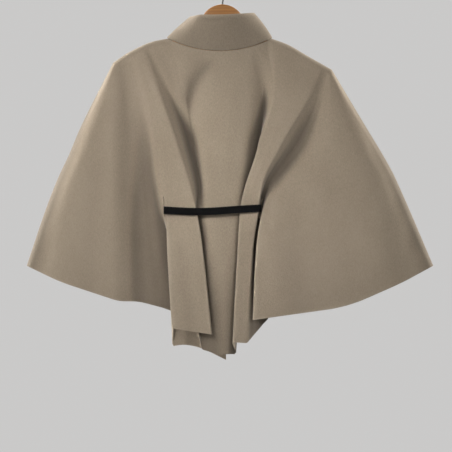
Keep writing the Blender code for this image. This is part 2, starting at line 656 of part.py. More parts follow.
def hanger_outline():
    """The hanger seen from the front: right arm, left arm, then over the head."""
    under = HANGER_UNDER * SLOPE
    right_top = arm_line(SHOULDER_RIGHT, under, under)[:-1]
    left_top = arm_line(SHOULDER_LEFT, under, under)[:-1]
    right_low = arm_line(SHOULDER_RIGHT, ARM_DEPTH_NECK, ARM_DEPTH_TIP)[::3]
    left_low = arm_line(SHOULDER_LEFT, ARM_DEPTH_NECK, ARM_DEPTH_TIP)[::3]
    head = []
    for degrees in range(HEAD_START, 181 - HEAD_START, HEAD_STEP):
        a = math.radians(degrees)
        head.append((HEAD_X + HEAD_RADIUS * math.cos(a), HEAD_Z + HEAD_RADIUS * math.sin(a)))
    outline = [(NECK_JOIN_X, NECK_JOIN_Z)] + right_top + right_low[::-1]
    outline += left_low + left_top[::-1] + [(-NECK_JOIN_X, NECK_JOIN_Z)] + head[::-1]
    return outline


def hanger(collection, cutters, mat):
    curve = bpy.data.curves.new("hanger outline", "CURVE")
    curve.dimensions = "2D"
    curve.fill_mode = "BOTH"
    outline = hanger_outline()
    spline = curve.splines.new("POLY")
    spline.points.add(len(outline) - 1)
    for target, (x, z) in zip(spline.points, outline):
        target.co = (x * MM, z * MM, 0, 1)
    spline.use_cyclic_u = True
    flat = bpy.data.objects.new("hanger outline", curve)
    bpy.context.scene.collection.objects.link(flat)
    bpy.context.view_layer.update()
    depsgraph = bpy.context.evaluated_depsgraph_get()
    mesh = bpy.data.meshes.new_from_object(flat.evaluated_get(depsgraph))
    bpy.data.objects.remove(flat, do_unlink=True)
    one_face(mesh)
    obj = bpy.data.objects.new("hanger", mesh)
    obj.rotation_euler = (math.pi / 2, 0, 0)
    bpy.context.scene.collection.objects.link(obj)
    board = obj.modifiers.new("board", "SOLIDIFY")
    board.thickness = HANGER_THICK * MM
    board.offset = 0
    edge = obj.modifiers.new("edge", "BEVEL")
    edge.width = HANGER_EDGE * MM
    edge.segments = 3
    edge.limit_method = "ANGLE"
    edge.angle_limit = math.radians(60)
    bore = obj.modifiers.new("hook bore", "BOOLEAN")
    bore.operation = "DIFFERENCE"
    bore.solver = "EXACT"
    bore.object = bore_cutter(cutters)
    return adopt(obj, "hanger", collection, mat)


def one_face(mesh):
    """Joins the triangles of a flat outline into one face."""
    shape = bmesh.new()
    shape.from_mesh(mesh)
    bmesh.ops.remove_doubles(shape, verts=shape.verts, dist=0.00001)
    bmesh.ops.dissolve_limit(shape, angle_limit=0.01, edges=shape.edges, verts=[])
    shape.to_mesh(mesh)
    shape.free()


def bore_cutter(cutters):
    top = HEAD_Z + HEAD_RADIUS
    bpy.ops.mesh.primitive_cylinder_add(
        vertices=16, radius=HOOK_BORE * MM, depth=(HOOK_SEAT + BORE_RUNOUT) * MM,
        location=(HEAD_X * MM, 0, (top + (BORE_RUNOUT - HOOK_SEAT) / 2 - CLEAR) * MM))
    obj = bpy.context.active_object
    obj.hide_render = True
    obj.display_type = "WIRE"
    return adopt(obj, "hook bore cutter", cutters, None)


def hook(collection, mat):
    middle = HOOK_RADIUS + HOOK_WIRE
    points = [(HEAD_X, 0, HEAD_Z + HEAD_RADIUS - HOOK_SEAT)]
    points += [(HEAD_X + x, 0, z) for x, z in HOOK_STEM]
    for degrees in range(HOOK_FROM, HOOK_TO, HOOK_STEP):
        a = math.radians(degrees)
        points.append((middle * math.cos(a), 0, middle * math.sin(a) - HOOK_RADIUS))
    return wire("hanger_hook", points, HOOK_WIRE, False, collection, mat, 3)


# ---------------------------------------------------------------- the whole object
def build():
    clear_scene()
    cape = new_collection("Belted wool cape on a hanger")
    cutters = new_collection("cutters")
    wool = material("wool melton", WOOL_COLOUR, 0.95)
    leather = material("black leather", LEATHER_COLOUR, 0.45)
    wood = material("varnished wood", WOOD_COLOUR, 0.35)
    steel = material("bright steel", STEEL_COLOUR, 0.3, 1.0)
    panel("back_panel", BACK, BACK_SLITS, NECK_DEPTH_BACK, NECK_DROP_BACK, -1, cape, wool)
    panel("front_panel_left", FRONT_LEFT, FRONT_LEFT_SLITS,
          NECK_DEPTH_LEFT, NECK_DROP_FRONT, 1, cape, wool)
    panel("front_panel_right", FRONT_RIGHT, FRONT_RIGHT_SLITS,
          NECK_DEPTH_RIGHT, NECK_DROP_FRONT, 1, cape, wool)
    collar(cape, wool)
    belt(cape, leather)
    buckle(cape, steel)
    keeper(cape, leather)
    hanger(cape, cutters, wood)
    hook(cape, steel)


build()
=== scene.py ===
"""The looks of a belted wool cape on its wooden hanger, laid out as a Blender add-on.

Frame: metres, +Z up, the origin at the inner top of the hanger's hook. The back of the
garment faces -Y, its fronts face +Y, and "left" and "right" are the wearer's, so left is
at -X. Tables are in millimetres; MM turns them into metres.
"""

from collections import namedtuple
import math

import bpy
import numpy as np
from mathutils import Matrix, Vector
from mathutils.kdtree import KDTree


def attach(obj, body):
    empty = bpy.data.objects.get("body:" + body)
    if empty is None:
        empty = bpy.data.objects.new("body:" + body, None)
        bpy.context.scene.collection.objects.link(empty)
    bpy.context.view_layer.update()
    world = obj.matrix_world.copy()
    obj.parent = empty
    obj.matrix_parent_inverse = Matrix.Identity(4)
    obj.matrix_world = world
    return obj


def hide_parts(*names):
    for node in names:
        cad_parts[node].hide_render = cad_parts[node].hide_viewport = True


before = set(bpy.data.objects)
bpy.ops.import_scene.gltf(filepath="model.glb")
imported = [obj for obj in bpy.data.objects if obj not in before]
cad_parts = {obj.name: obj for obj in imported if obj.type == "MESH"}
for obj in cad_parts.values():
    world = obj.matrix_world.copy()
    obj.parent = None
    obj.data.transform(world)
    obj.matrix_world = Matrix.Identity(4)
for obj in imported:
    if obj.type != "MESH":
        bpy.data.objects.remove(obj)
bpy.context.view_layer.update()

bl_info = {
    "name": "Belted wool cape on a hanger",
    "version": (1, 0, 0),
    "blender": (4, 5, 0),
    "location": "3D View > Sidebar > Cape",
    "description": "Makes the cloth, belt, hanger and studio of a belted wool cape",
    "category": "Object",
}

MM = 0.001
BODY = "root"

# ---------------------------------------------------------------- the cloth's form
COLLAR_CLOTH = 3.0
SEAM = 0.34             # how far from the hanger's plane the middle of the cloth ends at a seam
FOLD_RADIUS = 1.7       # the tightest that the middle of the cloth bends
ROLL = 10.0             # how far from a seam the cloth has rounded over

# The neck seam: half an oval on each side of the hanger's plane, lower at its middle.
NECK_CENTRE = -5.0
NECK_HALF_WIDTH = 105.0
NECK_DEPTH_BACK, NECK_DEPTH_LEFT, NECK_DEPTH_RIGHT = 26.0, 26.0, 30.5
NECK_SIDE_Z = -130.0
NECK_DROP_BACK, NECK_DROP_FRONT = 26.0, 55.0

# The shoulder seams, as (x, z).
SHOULDER_LEFT = ((-218, -178), (-188, -158), (-136, -135), (-110, -130))
SHOULDER_RIGHT = ((100, -130), (130, -141), (174, -166), (220, -192))
SHOULDER_PARTS = 48

# How far down the cloth each level lies, from 0 at the neck and shoulder to 1 at the hem.
V_CHEST, V_RIBS, V_WAIST, V_SKIRT = 0.30, 0.44, 0.55, 0.68
V_SLIT_TOP, V_SLIT_FOOT = 0.50, 0.58
# Above the first of these levels the folds open out, and take up to this much more cloth.
V_SOFT, SOFT_TOP = 0.19, 14.0

# A level's height at the middle, the half width over which it keeps that, and how much it
# rises for each millimetre further out.
Level = namedtuple("Level", "middle_z flat_half rise")
CHEST = Level(-356, 0, 0.15)
RIBS = Level(-430, 60, 0.26)
WAIST = Level(-475, 115, 0.34)
SKIRT = Level(-545, 110, 0.38)

# A fold line down a panel: its x at each level, and with _y how far it stands out from the
# hanger's plane there. Bow and lift shift its upper part sideways and out, and soft is how
# much cloth its bend takes to each side.
Fold = namedtuple(
    "Fold", "name top bow lift chest chest_y ribs ribs_y waist waist_y skirt skirt_y"
            " hem hem_z hem_y soft")
BACK = (
    Fold("seam_left",    -218,   0,  0, -286, 10, -308, 10, -326, 10, -347, 10, -392, -586, 10,  0),
    Fold("swell_left",   -215,   0,  0, -262, 28, -278, 33, -292, 36, -306, 38, -322, -618, 40, 24),
    Fold("crest_left",   -211,   0,  0, -211, 36, -210, 39, -209, 42, -208, 44, -206, -656, 47, 12),
    Fold("valley_left",  -200,   0,  0, -178, 20, -176, 23, -174, 25, -170, 26, -166, -657, 29, 14),
    Fold("recess_left",  -186,   0,  0, -150, 21, -145, 22, -140, 23, -134, 23, -114, -671, 24, 12),
    Fold("tuck_left",    -174,   0,  0, -133, 37, -125, 42, -120, 43, -100, 32,  -72, -688, 30,  2),
    Fold("edge_left",    -168,   0,  0, -118, 40, -113, 47, -110, 53, -109, 57, -101, -709, 62,  2),
    Fold("fold_left",    -160,   0,  0,  -90, 44,  -63, 52,  -51, 55,  -38, 60,  -17, -722, 66,  3),
    Fold("under_left",   -152,   0,  0,  -64, 20,  -47, 30,  -53, 40,  -54, 41,  -46, -714, 44,  4),
    Fold("roll_left",     -95,   0, 10,  -58, 19,  -43, 31,  -42, 41,  -40, 42,  -41, -751, 42,  8),
    Fold("dip_left",      -24, -18, -2,  -55, 19,  -40, 33,  -39, 42,  -37, 43,  -37, -753, 43,  5),
    Fold("panel_left",     -2,  -8,  0,  -38, 33,  -33, 43,  -31, 48,  -27, 49,  -17, -759, 48, 12),
    Fold("centre",         22,   0,  0,    0, 38,   -1, 45,   -2, 50,   -4, 51,   -4, -762, 51, 14),
    Fold("panel_right",    54,   9,  0,   46, 36,   38, 44,   32, 47,   27, 49,   18, -761, 49,  8),
    Fold("under_right",    68,  10, -2,   78, 11,   59, 23,   52, 34,   48, 39,   29, -762, 40,  4),
    Fold("fold_right",    100,  16,  0,   72, 46,   45, 53,   35, 56,   30, 60,   21, -737, 64,  3),
    Fold("face_right",    203,   6,  0,  120, 44,   80, 54,   73, 54,   62, 56,   49, -739, 60,  3),
    Fold("tuck_right",    207,   6,  0,  138, 30,   84, 41,   70, 34,   61, 34,   80, -704, 35,  2),
    Fold("turn_right",    210,   4,  0,  154, 24,   95, 36,   83, 32,   84, 33,   94, -690, 33,  2),
    Fold("edge_right",    213,   2,  0,  174, 23,  108, 36,   81, 50,   68, 60,   59, -693, 70,  2),
    Fold("crest_right",   216,   0,  0,  226, 31,  214, 35,  206, 38,  222, 43,  250, -667, 48, 40),
    Fold("swell_right",   218,   0,  0,  266, 27,  290, 31,  304, 33,  324, 36,  356, -621, 38, 24),
    Fold("seam_right",    220,   0,  0,  292, 10,  322, 10,  342, 10,  365, 10,  424, -586, 10,  0),
)
FRONT_LEFT = (
    Fold("seam_left",    -218,   0,  0, -286, 10, -308, 10, -326, 10, -347, 10, -392, -586, 10,  0),
    Fold("crest_left",   -190,   0,  0, -212, 22, -218, 24, -224, 26, -228, 28, -222, -636, 32, 40),
    Fold("tuck_left",    -150,   0,  0, -130, 22, -122, 25, -120, 27, -104, 26,  -94, -672, 18,  2),
    Fold("fold_left",    -140,   0,  0, -112, 27, -110, 31, -108, 35, -107, 38, -101, -750, 44,  2),
    Fold("ripple_left",  -124,   0,  0,  -92, 25,  -88, 29,  -86, 32,  -84, 33,  -78, -746, 35, 10),
    Fold("ridge_left",   -110,   0,  0,  -64, 30,  -60, 33,  -58, 34,  -57, 37,  -54, -750, 42, 12),
    Fold("lap_left",      -50,   0,  0,  -36, 29,  -36, 31,  -36, 31,  -36, 33,  -34, -756, 35, 10),
    Fold("edge_left",       8,   0,  0,   10, 31,   10, 31,    9, 31,    9, 31,    8, -777, 32,  0),
)
FRONT_RIGHT = (
    Fold("edge_right",    -24,   0,  0,  -24, 35,  -24, 36,  -24, 36,  -24, 37,  -24, -757, 40,  0),
    Fold("lap_right",      30,   0,  0,   24, 34,   22, 36,   22, 36,   22, 38,   20, -744, 42, 12),
    Fold("ridge_right",   100,   0,  0,   56, 28,   50, 32,   50, 34,   46, 38,   36, -728, 46, 12),
    Fold("fold_right",    118,   0,  0,   84, 27,   78, 31,   76, 35,   70, 38,   62, -708, 48,  2),
    Fold("tuck_right",    130,   0,  0,  100, 22,   90, 25,   88, 28,   64, 26,   42, -676, 28,  2),
    Fold("crest_right",   184,   0,  0,  216, 22,  216, 24,  216, 26,  230, 28,  246, -652, 32, 50),
    Fold("seam_right",    220,   0,  0,  292, 10,  322, 10,  342, 10,  365, 10,  424, -586, 10,  0),
)

# A soft crease: it starts at a share of the way from one fold to the next, at one level,
# and ends at another. A positive depth is a ridge on the cloth's outer face.
Crease = namedtuple("Crease", "fold share v end_fold end_share end_v width depth")
BACK_CREASES = (
    Crease("panel_left", 0.55, 0.06, "panel_left", 0.50, 0.60, 20, 0.8),
    Crease("centre", 0.55, 0.05, "centre", 0.60, 0.46, 18, -0.7),
    Crease("under_left", 0.30, 0.02, "under_left", 0.40, 0.15, 9, -1.6),
    Crease("dip_left", 0.00, 0.00, "roll_left", 0.60, 0.20, 14, -3.0),
    Crease("seam_left", 0.55, 0.20, "seam_left", 0.62, 0.97, 26, 0.9),
    Crease("swell_left", 0.45, 0.34, "swell_left", 0.40, 1.00, 18, -0.9),
    Crease("valley_left", 0.60, 0.40, "valley_left", 0.70, 1.00, 10, 0.8),
    Crease("recess_left", 0.20, 0.62, "recess_left", 0.40, 1.00, 12, -0.8),
    Crease("edge_left", 0.35, 0.60, "edge_left", 0.42, 1.00, 15, -1.2),
    Crease("fold_right", 0.50, 0.12, "fold_right", 0.45, 0.50, 12, 0.9),
    Crease("edge_right", 0.30, 0.30, "edge_right", 0.34, 0.98, 28, 1.2),
    Crease("edge_right", 0.62, 0.42, "edge_right", 0.66, 1.00, 24, -1.0),
    Crease("crest_right", 0.45, 0.30, "crest_right", 0.52, 1.00, 30, 0.9),
)
FRONT_LEFT_CREASES = (
    Crease("seam_left", 0.50, 0.18, "seam_left", 0.58, 0.96, 26, 1.0),
    Crease("crest_left", 0.35, 0.22, "crest_left", 0.42, 0.98, 22, -1.5),
    Crease("crest_left", 0.70, 0.16, "crest_left", 0.82, 0.49, 12, 1.2),
    Crease("fold_left", 0.50, 0.58, "fold_left", 0.46, 1.00, 8, 0.9),
    Crease("ridge_left", 0.50, 0.20, "ridge_left", 0.54, 0.96, 12, -0.7),
    Crease("lap_left", 0.50, 0.66, "lap_left", 0.44, 1.00, 9, -0.8),
)
FRONT_RIGHT_CREASES = (
    Crease("lap_right", 0.45, 0.14, "lap_right", 0.40, 0.94, 12, -1.2),
    Crease("tuck_right", 0.22, 0.16, "tuck_right", 0.14, 0.49, 12, 1.2),
    Crease("tuck_right", 0.55, 0.30, "tuck_right", 0.60, 0.98, 26, -1.6),
    Crease("crest_right", 0.40, 0.20, "crest_right", 0.45, 0.97, 28, 1.0),
)

# The slits lie in the run of cloth after these folds; side is -1 at the back.
Panel = namedtuple("Panel", "name node folds slits neck_depth neck_drop side creases seed")
PANELS = (
    Panel("back_cloth", "back_panel", BACK, ("tuck_left", "tuck_right"),
          NECK_DEPTH_BACK, NECK_DROP_BACK, -1, BACK_CREASES, 0.3),
    Panel("left_front_cloth", "front_panel_left", FRONT_LEFT, ("tuck_left",),
          NECK_DEPTH_LEFT, NECK_DROP_FRONT, 1, FRONT_LEFT_CREASES, 2.1),
    Panel("right_front_cloth", "front_panel_right", FRONT_RIGHT, ("fold_right",),
          NECK_DEPTH_RIGHT, NECK_DROP_FRONT, 1, FRONT_RIGHT_CREASES, 4.4),
)
# The size each panel was cut to: its widest, its longest and its area in square metres.
Cut = namedtuple("Cut", "width length area")

# The rows and columns that round the cloth over beside a seam: their levels, and their
# distances from it.
ROLL_ROWS = (0, 0.0002, 0.0008, 0.002, 0.0045, 0.009, 0.015, 0.022, 0.032)
ROLL_STEPS = (0.12, 0.5, 1.2, 2.3, 4.0, 6.6, ROLL)
ROLL_SHARE = 0.09       # the most of a short run that each of these steps may take
CLOTH_LENGTH = 640.0    # the cloth's rough length from shoulder to hem, for its rows
KNIFE_SOFT = 5          # bends with less cloth than this are pressed folds
KNIFE_STEPS, SOFT_STEPS = 8, 8
# Painted shade, darker where the cloth beside a place stands out further than it does: what
# each millimetre away takes off that, where the painted shade starts, and how fast it grows.
SHADE_SLOPE, SHADE_SHALLOW, SHADE_DEEP = 0.2, 4.0, 12.0
# The painted shade's share in an open fold, and how far from a pressed fold it falls to that.
SHADE_OPEN, SHADE_REACH = 0.60, 20.0
TROUGH_SHADE = 0.13      # how much painted shade each millimetre of a trough adds

# Unevenness and creases fade out this near to a seam and to a pressed fold, above this
# level, and where the belt lies on the cloth: between these x, and this far from its middle.
CALM_SEAM, CALM_PRESSED, CALM_TOP = 30.0, 22.0, 0.05
BELT_LIES, BELT_FLAT, BELT_FADE = (-135, 98), 14.0, 40.0
CREASE_FADE = 0.25      # the share of a crease's length in which it rises to its depth

# The slow unevenness: each wave's share, its turns in a metre across and down the cloth,
# and how its start follows from the panel's seed.
Wave = namedtuple("Wave", "share across down by_seed start")
WAVES = (
    Wave(0.42, 6.1, 0.9, 1.0, 0.0),
    Wave(0.30, 10.7, -1.6, 2.3, 1.0),
    Wave(0.18, 3.2, 4.3, 1.7, 2.0),
    Wave(0.10, 17.3, 6.8, 0.6, 0.0),
)

# Cloth is rubbed where it turns by more than this angle within this distance, this near to
# a pressed fold, and along its cut edges.
RUBBED_TURN, TURN_REACH = 0.5, 6.0
RUBBED_FOLD, RUBBED_EDGE = 3.0, 2.5
CLOTH_EDGE, COLLAR_EDGE = 0.6, 0.9      # how wide the walls' edges are rounded
CLOTH_SMOOTH = 50                       # degrees below which a bend is shaded smooth
RIM_CORNER, SOLID_CORNER = 58, 60       # degrees above which a corner is rounded off

# The collar's top edge is an oval too, tilted to one side.
COLLAR_TOP_CENTRE = -2.5
COLLAR_TOP_HALF_WIDTH = 66.5
COLLAR_TOP_DEPTH_BACK, COLLAR_TOP_DEPTH_LEFT, COLLAR_TOP_DEPTH_RIGHT = 40.0, 34.0, 38.5
COLLAR_TOP_Z = -79.5
COLLAR_TOP_DROP_BACK, COLLAR_TOP_DROP_FRONT = 4.0, 26.0
COLLAR_TILT = 1.5
COLLAR_SWELL = 2.0      # how far its height bulges out
COLLAR_WAVE, COLLAR_WAVES, COLLAR_WAVE_START = 1.0, 5, 1.1
COLLAR_LIFT, COLLAR_SIDE_LIFT = 0.85, 1.4   # its foot's clearance over the neck seam
COLLAR_START, COLLAR_END = 1.4465, 8.0358   # its two front ends, as angles round the neck
COLLAR_COLUMNS, COLLAR_ROWS = 132, 40
# The left top corner slumps: how far in, and how far down, and from which share of the side.
COLLAR_SLUMP, COLLAR_SLUMP_FROM = (6.0, 0.0, -4.5), 0.55
# The trough below the top edge at the back: where its middle is, its half length, its
# height share at the middle and how much that rises to its ends, its half width, its depth.
Trough = namedtuple("Trough", "x reach height rise width depth")
COLLAR_TROUGH = Trough(-14, 36, 0.877, 0.10, 0.030, 2.0)
# How much painted shade the collar has, and how far below its top edge that is reached.
COLLAR_SHADE_AMOUNT, COLLAR_SHADE_FROM = 0.33, 10.0

# ---------------------------------------------------------------- belt, buckle, hanger
BELT_WIDTH = 15.0
BELT_THICK = 2.0
# The strap's rows of corners, by their height over its middle line, and those round a slot.
BELT_ROWS = (-7.5, -6.0, -3.75, -1.8, 0, 1.8, 3.75, 6.0, 7.5)
BELT_SLOT_ROWS = (3, 4)
BELT_BEND = 5.0
BELT_Z = -474.0
BAR_X, BAR_Y = 12.0, 43.2       # the buckle's bar, and the strap's middle round it
WRAP = 2.6
FRAME_X, FRAME_Y = -12.0, 48.0  # the frame's far side, which the prong lies on
TAIL_Y = 48.4
# The strap's middle line, from its sewn end round the buckle's bar, round the cape and back
# over the buckle: each stop's place, how much strap its bend takes to each side, and whether
# a slot starts there.
Stop = namedtuple("Stop", "name x y z bend slotted")
BELT_ROUTE = (
    Stop("return end",        46, BAR_Y - WRAP, BELT_Z, 0, False),
    Stop("slot foot",         17, BAR_Y - WRAP, BELT_Z, 0, True),
    Stop("loop inner",  BAR_X - WRAP, BAR_Y - WRAP, BELT_Z, WRAP, True),
    Stop("loop outer",  BAR_X - WRAP, BAR_Y + WRAP, BELT_Z, WRAP, True),
    Stop("slot head",         17, BAR_Y + WRAP, BELT_Z, 0, False),
    Stop("keeper",            48, BAR_Y + WRAP, BELT_Z, 6, False),
    Stop("settle",            63, 40.8, BELT_Z, 10, False),
    Stop("front right",     80.5, 40.4, -473, BELT_BEND, False),
    Stop("inside right",    78.0, 0, -471, 0, False),
    Stop("back right",      76.6, -59.4, -470.5, BELT_BEND, False),
    Stop("pleat right",       40, -60.2, -472.5, 20, False),
    Stop("back middle",      -20, -60.4, -477, 30, False),
    Stop("pleat left",       -62, -59.8, -477.5, 20, False),
    Stop("back left",     -115.4, -58.6, -474.5, BELT_BEND, False),
    Stop("inside left",     -114, 0, -473, 0, False),
    Stop("front left",    -113.4, 40.0, BELT_Z, BELT_BEND, False),
    Stop("over left",        -36, 40.4, BELT_Z, 20, False),
    Stop("under frame",      -14, 44.0, BELT_Z, 8, False),
    Stop("hole start",        -5, 45.9, BELT_Z, 0, True),
    Stop("hole end",           5, 47.6, BELT_Z, 0, False),
    Stop("over loop",         10, TAIL_Y, BELT_Z, 8, False),
    Stop("over keeper",       48, TAIL_Y, BELT_Z, 8, False),
    Stop("tail lies down",    63, 43.5, BELT_Z, 10, False),
    Stop("second hole",       72, 43.3, BELT_Z, 0, True),
    Stop("second hole end", 75.6, 43.3, BELT_Z, 0, False),
    Stop("tip shoulder",      90, 43.2, BELT_Z, 0, False),
    Stop("tip",               97, 43.2, BELT_Z, 0, False),
)
BELT_EDGE, KEEPER_EDGE, LEATHER_RUBBED, LEATHER_SMOOTH = 0.45, 0.4, 0.8, 40
BELT_STRETCH = 4.0      # the longest facet
BELT_BEND_STEPS = 8
TIP_LENGTH = 7.0
TIP_COLUMNS = 9
TIP_BLUNT = 0.25

WIRE, WIRE_SMOOTH = 1.25, 60
WIRE_BEND, WIRE_BEND_STEPS, WIRE_SIDES = 3.0, 8, 16
PRONG = 0.9
PRONG_BEND, PRONG_BEND_STEPS, PRONG_SIDES = 1.6, 6, 12
PRONG_RISE = ((2.4, 0.9), (-1.6, 6.7))      # x, and how far out from the bar
PRONG_TIP, PRONG_DROOP = 3.0, 0.4
PRONG_EYE = 1.5         # how far the eye's end passes the bar
BUCKLE_HALF_HEIGHT = 10.5
CLEAR = 0.35            # between the steel pieces, and round the hook's stem
KEEPER_X = 40.0
KEEPER_WIDTH = 8.0
KEEPER_THICK = 1.5
KEEPER_ROOM = 0.5
KEEPER_BEND, KEEPER_BEND_STEPS = 1.4, 6
KEEPER_RUBBED = 3.5     # how far from its middle its rubbed edges start

HANGER_THICK = 11.0
HANGER_EDGE, HANGER_EDGE_STEPS = 4.6, 6
HANGER_UNDER = 2.3      # how far the arms stay under the shoulder seams, square to them
SLOPE = 1.12            # a millimetre square to the seams is this much upright
HEAD_X, HEAD_Z, HEAD_RADIUS = 1.0, -105.0, 45.0
HEAD_START, HEAD_STEP = -15, 5
NECK_JOIN_X, NECK_JOIN_Z = 62.0, -126.0
ARM_DEPTH_NECK, ARM_DEPTH_TIP = 36.0, 24.0
ARM_PARTS, ARM_LOW_STEP = 36, 4
NECK_DIP, NECK_DIP_REACH = 2.6, 12.0
HOOK_WIRE, HOOK_SIDES = 1.9, 20
HOOK_RADIUS = 20.0
HOOK_SEAT, HOOK_BORE = 24.0, 2.3
BORE_ABOVE, BORE_SIDES = 10, 32         # how far the rod that cuts the bore stands out
HOOK_STEM = ((0, -72), (0, -56), (1.2, -49.5), (5, -44))
HOOK_FROM, HOOK_TO, HOOK_STEP = -60, 205, 4
HOOK_BEND, HOOK_TIP = 4.0, 0.8
WOOD_SMOOTH, HOOK_SMOOTH = 35, 50


# ---------------------------------------------------------------- finishes
FACE_RUBBED, EDGE_RUBBED = 0.45, 0.9    # how much a rubbed place shows on face and edge
# how far the painted shade goes towards its dark colour
PAINTED_SHADE_AMOUNT = 0.85
LEATHER_WEAR = 0.8
STEEL_DULL = 0.7
# Small marks on the cloth: a dark speck under the collar, and a faint reddish thread mark
# beside the belt. Each fades out from this share of its radius.
Spot = namedtuple("Spot", "x y z radius amount colour")
SPECK, THREAD = (0.05, 0.028, 0.016, 1), (0.36, 0.15, 0.11, 1)
SPOT_CORE = 0.45
FACE_SPOTS = (
    Spot(-55, -30, -158, 3.5, 0.75, SPECK),
    Spot(89, -52, -575, 6.0, 0.22, THREAD),
    Spot(97, -52, -579, 6.0, 0.22, THREAD),
    Spot(105, -52, -581, 6.0, 0.22, THREAD),
)


# ---------------------------------------------------------------- settings
class CapeCloth(bpy.types.PropertyGroup):
    thickness: bpy.props.FloatProperty(
        name="Thickness", description="Thickness of the melton", default=0.0022, unit="LENGTH")
    facet: bpy.props.FloatProperty(
        name="Facet", description="Longest facet of the cloth", default=0.0068, unit="LENGTH")
    ripple: bpy.props.FloatProperty(
        name="Ripple", description="Height of the cloth's slow unevenness", default=0.0007,
        unit="LENGTH")
    colour: bpy.props.FloatVectorProperty(
        name="Wool", description="Colour of the wool's lit face", subtype="COLOR", size=4,
        default=(0.350, 0.288, 0.216, 1), min=0, max=1)
    shade: bpy.props.FloatVectorProperty(
        name="Wool shade", description="Colour between the fibres", subtype="COLOR", size=4,
        default=(0.262, 0.212, 0.155, 1), min=0, max=1)
    worn: bpy.props.FloatVectorProperty(
        name="Rubbed wool", description="Colour along edges and pressed folds",
        subtype="COLOR", size=4, default=(0.420, 0.352, 0.270, 1), min=0, max=1)
    # The painted shade's colour, deep between the folds and on the collar.
    folded: bpy.props.FloatVectorProperty(
        name="Wool in the folds", description="Colour deep between the folds",
        subtype="COLOR", size=4, default=(0.062, 0.050, 0.038, 1), min=0, max=1)


class CapeBelt(bpy.types.PropertyGroup):
    leather: bpy.props.FloatVectorProperty(
        name="Leather", description="Colour of the belt", subtype="COLOR", size=4,
        default=(0.0042, 0.0041, 0.0045, 1), min=0, max=1)
    edge: bpy.props.FloatVectorProperty(
        name="Leather edge", description="Colour of the belt's rubbed edges",
        subtype="COLOR", size=4, default=(0.026, 0.021, 0.018, 1), min=0, max=1)
    steel: bpy.props.FloatVectorProperty(
        name="Buckle steel", description="Colour of the buckle", subtype="COLOR", size=4,
        default=(0.62, 0.62, 0.61, 1), min=0, max=1)


class CapeHanger(bpy.types.PropertyGroup):
    wood: bpy.props.FloatVectorProperty(
        name="Wood", description="Colour of the wood's light rings", subtype="COLOR", size=4,
        default=(0.42, 0.185, 0.040, 1), min=0, max=1)
    grain: bpy.props.FloatVectorProperty(
        name="Grain", description="Colour of the wood's dark rings", subtype="COLOR", size=4,
        default=(0.33, 0.138, 0.030, 1), min=0, max=1)
    steel: bpy.props.FloatVectorProperty(
        name="Hook steel", description="Colour of the hook", subtype="COLOR", size=4,
        default=(0.07, 0.068, 0.066, 1), min=0, max=1)


class CapeStudio(bpy.types.PropertyGroup):
    floor_drop: bpy.props.FloatProperty(
        name="Floor", description="Height of the hook above the floor", default=2.4,
        unit="LENGTH")
    floor_radius: bpy.props.FloatProperty(
        name="Floor radius", description="Radius of the round floor", default=5.0,
        unit="LENGTH")
    floor_colour: bpy.props.FloatVectorProperty(
        name="Floor colour", description="Colour of the floor", subtype="COLOR", size=4,
        default=(0.62, 0.63, 0.65, 1), min=0, max=1)
    sky_colour: bpy.props.FloatVectorProperty(
        name="Surround", description="Colour of the pale surround", subtype="COLOR", size=4,
        default=(0.59, 0.585, 0.58, 1), min=0, max=1)
    sky_strength: bpy.props.FloatProperty(
        name="Surround strength", description="Light that the pale surround gives",
        default=0.18)
    distance: bpy.props.FloatProperty(
        name="Camera distance", description="From the camera to the hanger's plane",
        default=5.0, unit="LENGTH")
    lens: bpy.props.FloatProperty(
        name="Lens", description="Focal length on a 36 mm sensor", default=197.9,
        unit="CAMERA")


# ---------------------------------------------------------------- helpers
def select_only(obj):
    bpy.ops.object.select_all(action="DESELECT")
    obj.select_set(True)
    bpy.context.view_layer.objects.active = obj


def apply_all(obj):
    select_only(obj)
    for modifier in list(obj.modifiers):
        bpy.ops.object.modifier_apply(modifier=modifier.name)


def finish_piece(obj, name, slot, stands_for, smooth_to, *materials):
    """Names a piece, shades it smooth up to an angle, and gives it its materials and body."""
    obj.name = name
    obj.data.name = name
    obj.data.materials.clear()
    for mat in materials:
        obj.data.materials.append(mat)
    select_only(obj)
    bpy.ops.object.shade_smooth_by_angle(angle=math.radians(smooth_to))
    bpy.ops.object.transform_apply(location=True, rotation=True, scale=True)
    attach(obj, BODY)
    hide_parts(stands_for)


def face_outwards(obj, merge=0):
    """Merges corners that lie within `merge` mm, and turns every face outwards."""
    select_only(obj)
    bpy.ops.object.mode_set(mode="EDIT")
    bpy.ops.mesh.select_all(action="SELECT")
    if merge:
        bpy.ops.mesh.remove_doubles(threshold=merge * MM)
    bpy.ops.mesh.normals_make_consistent(inside=False)
    bpy.ops.object.mode_set(mode="OBJECT")


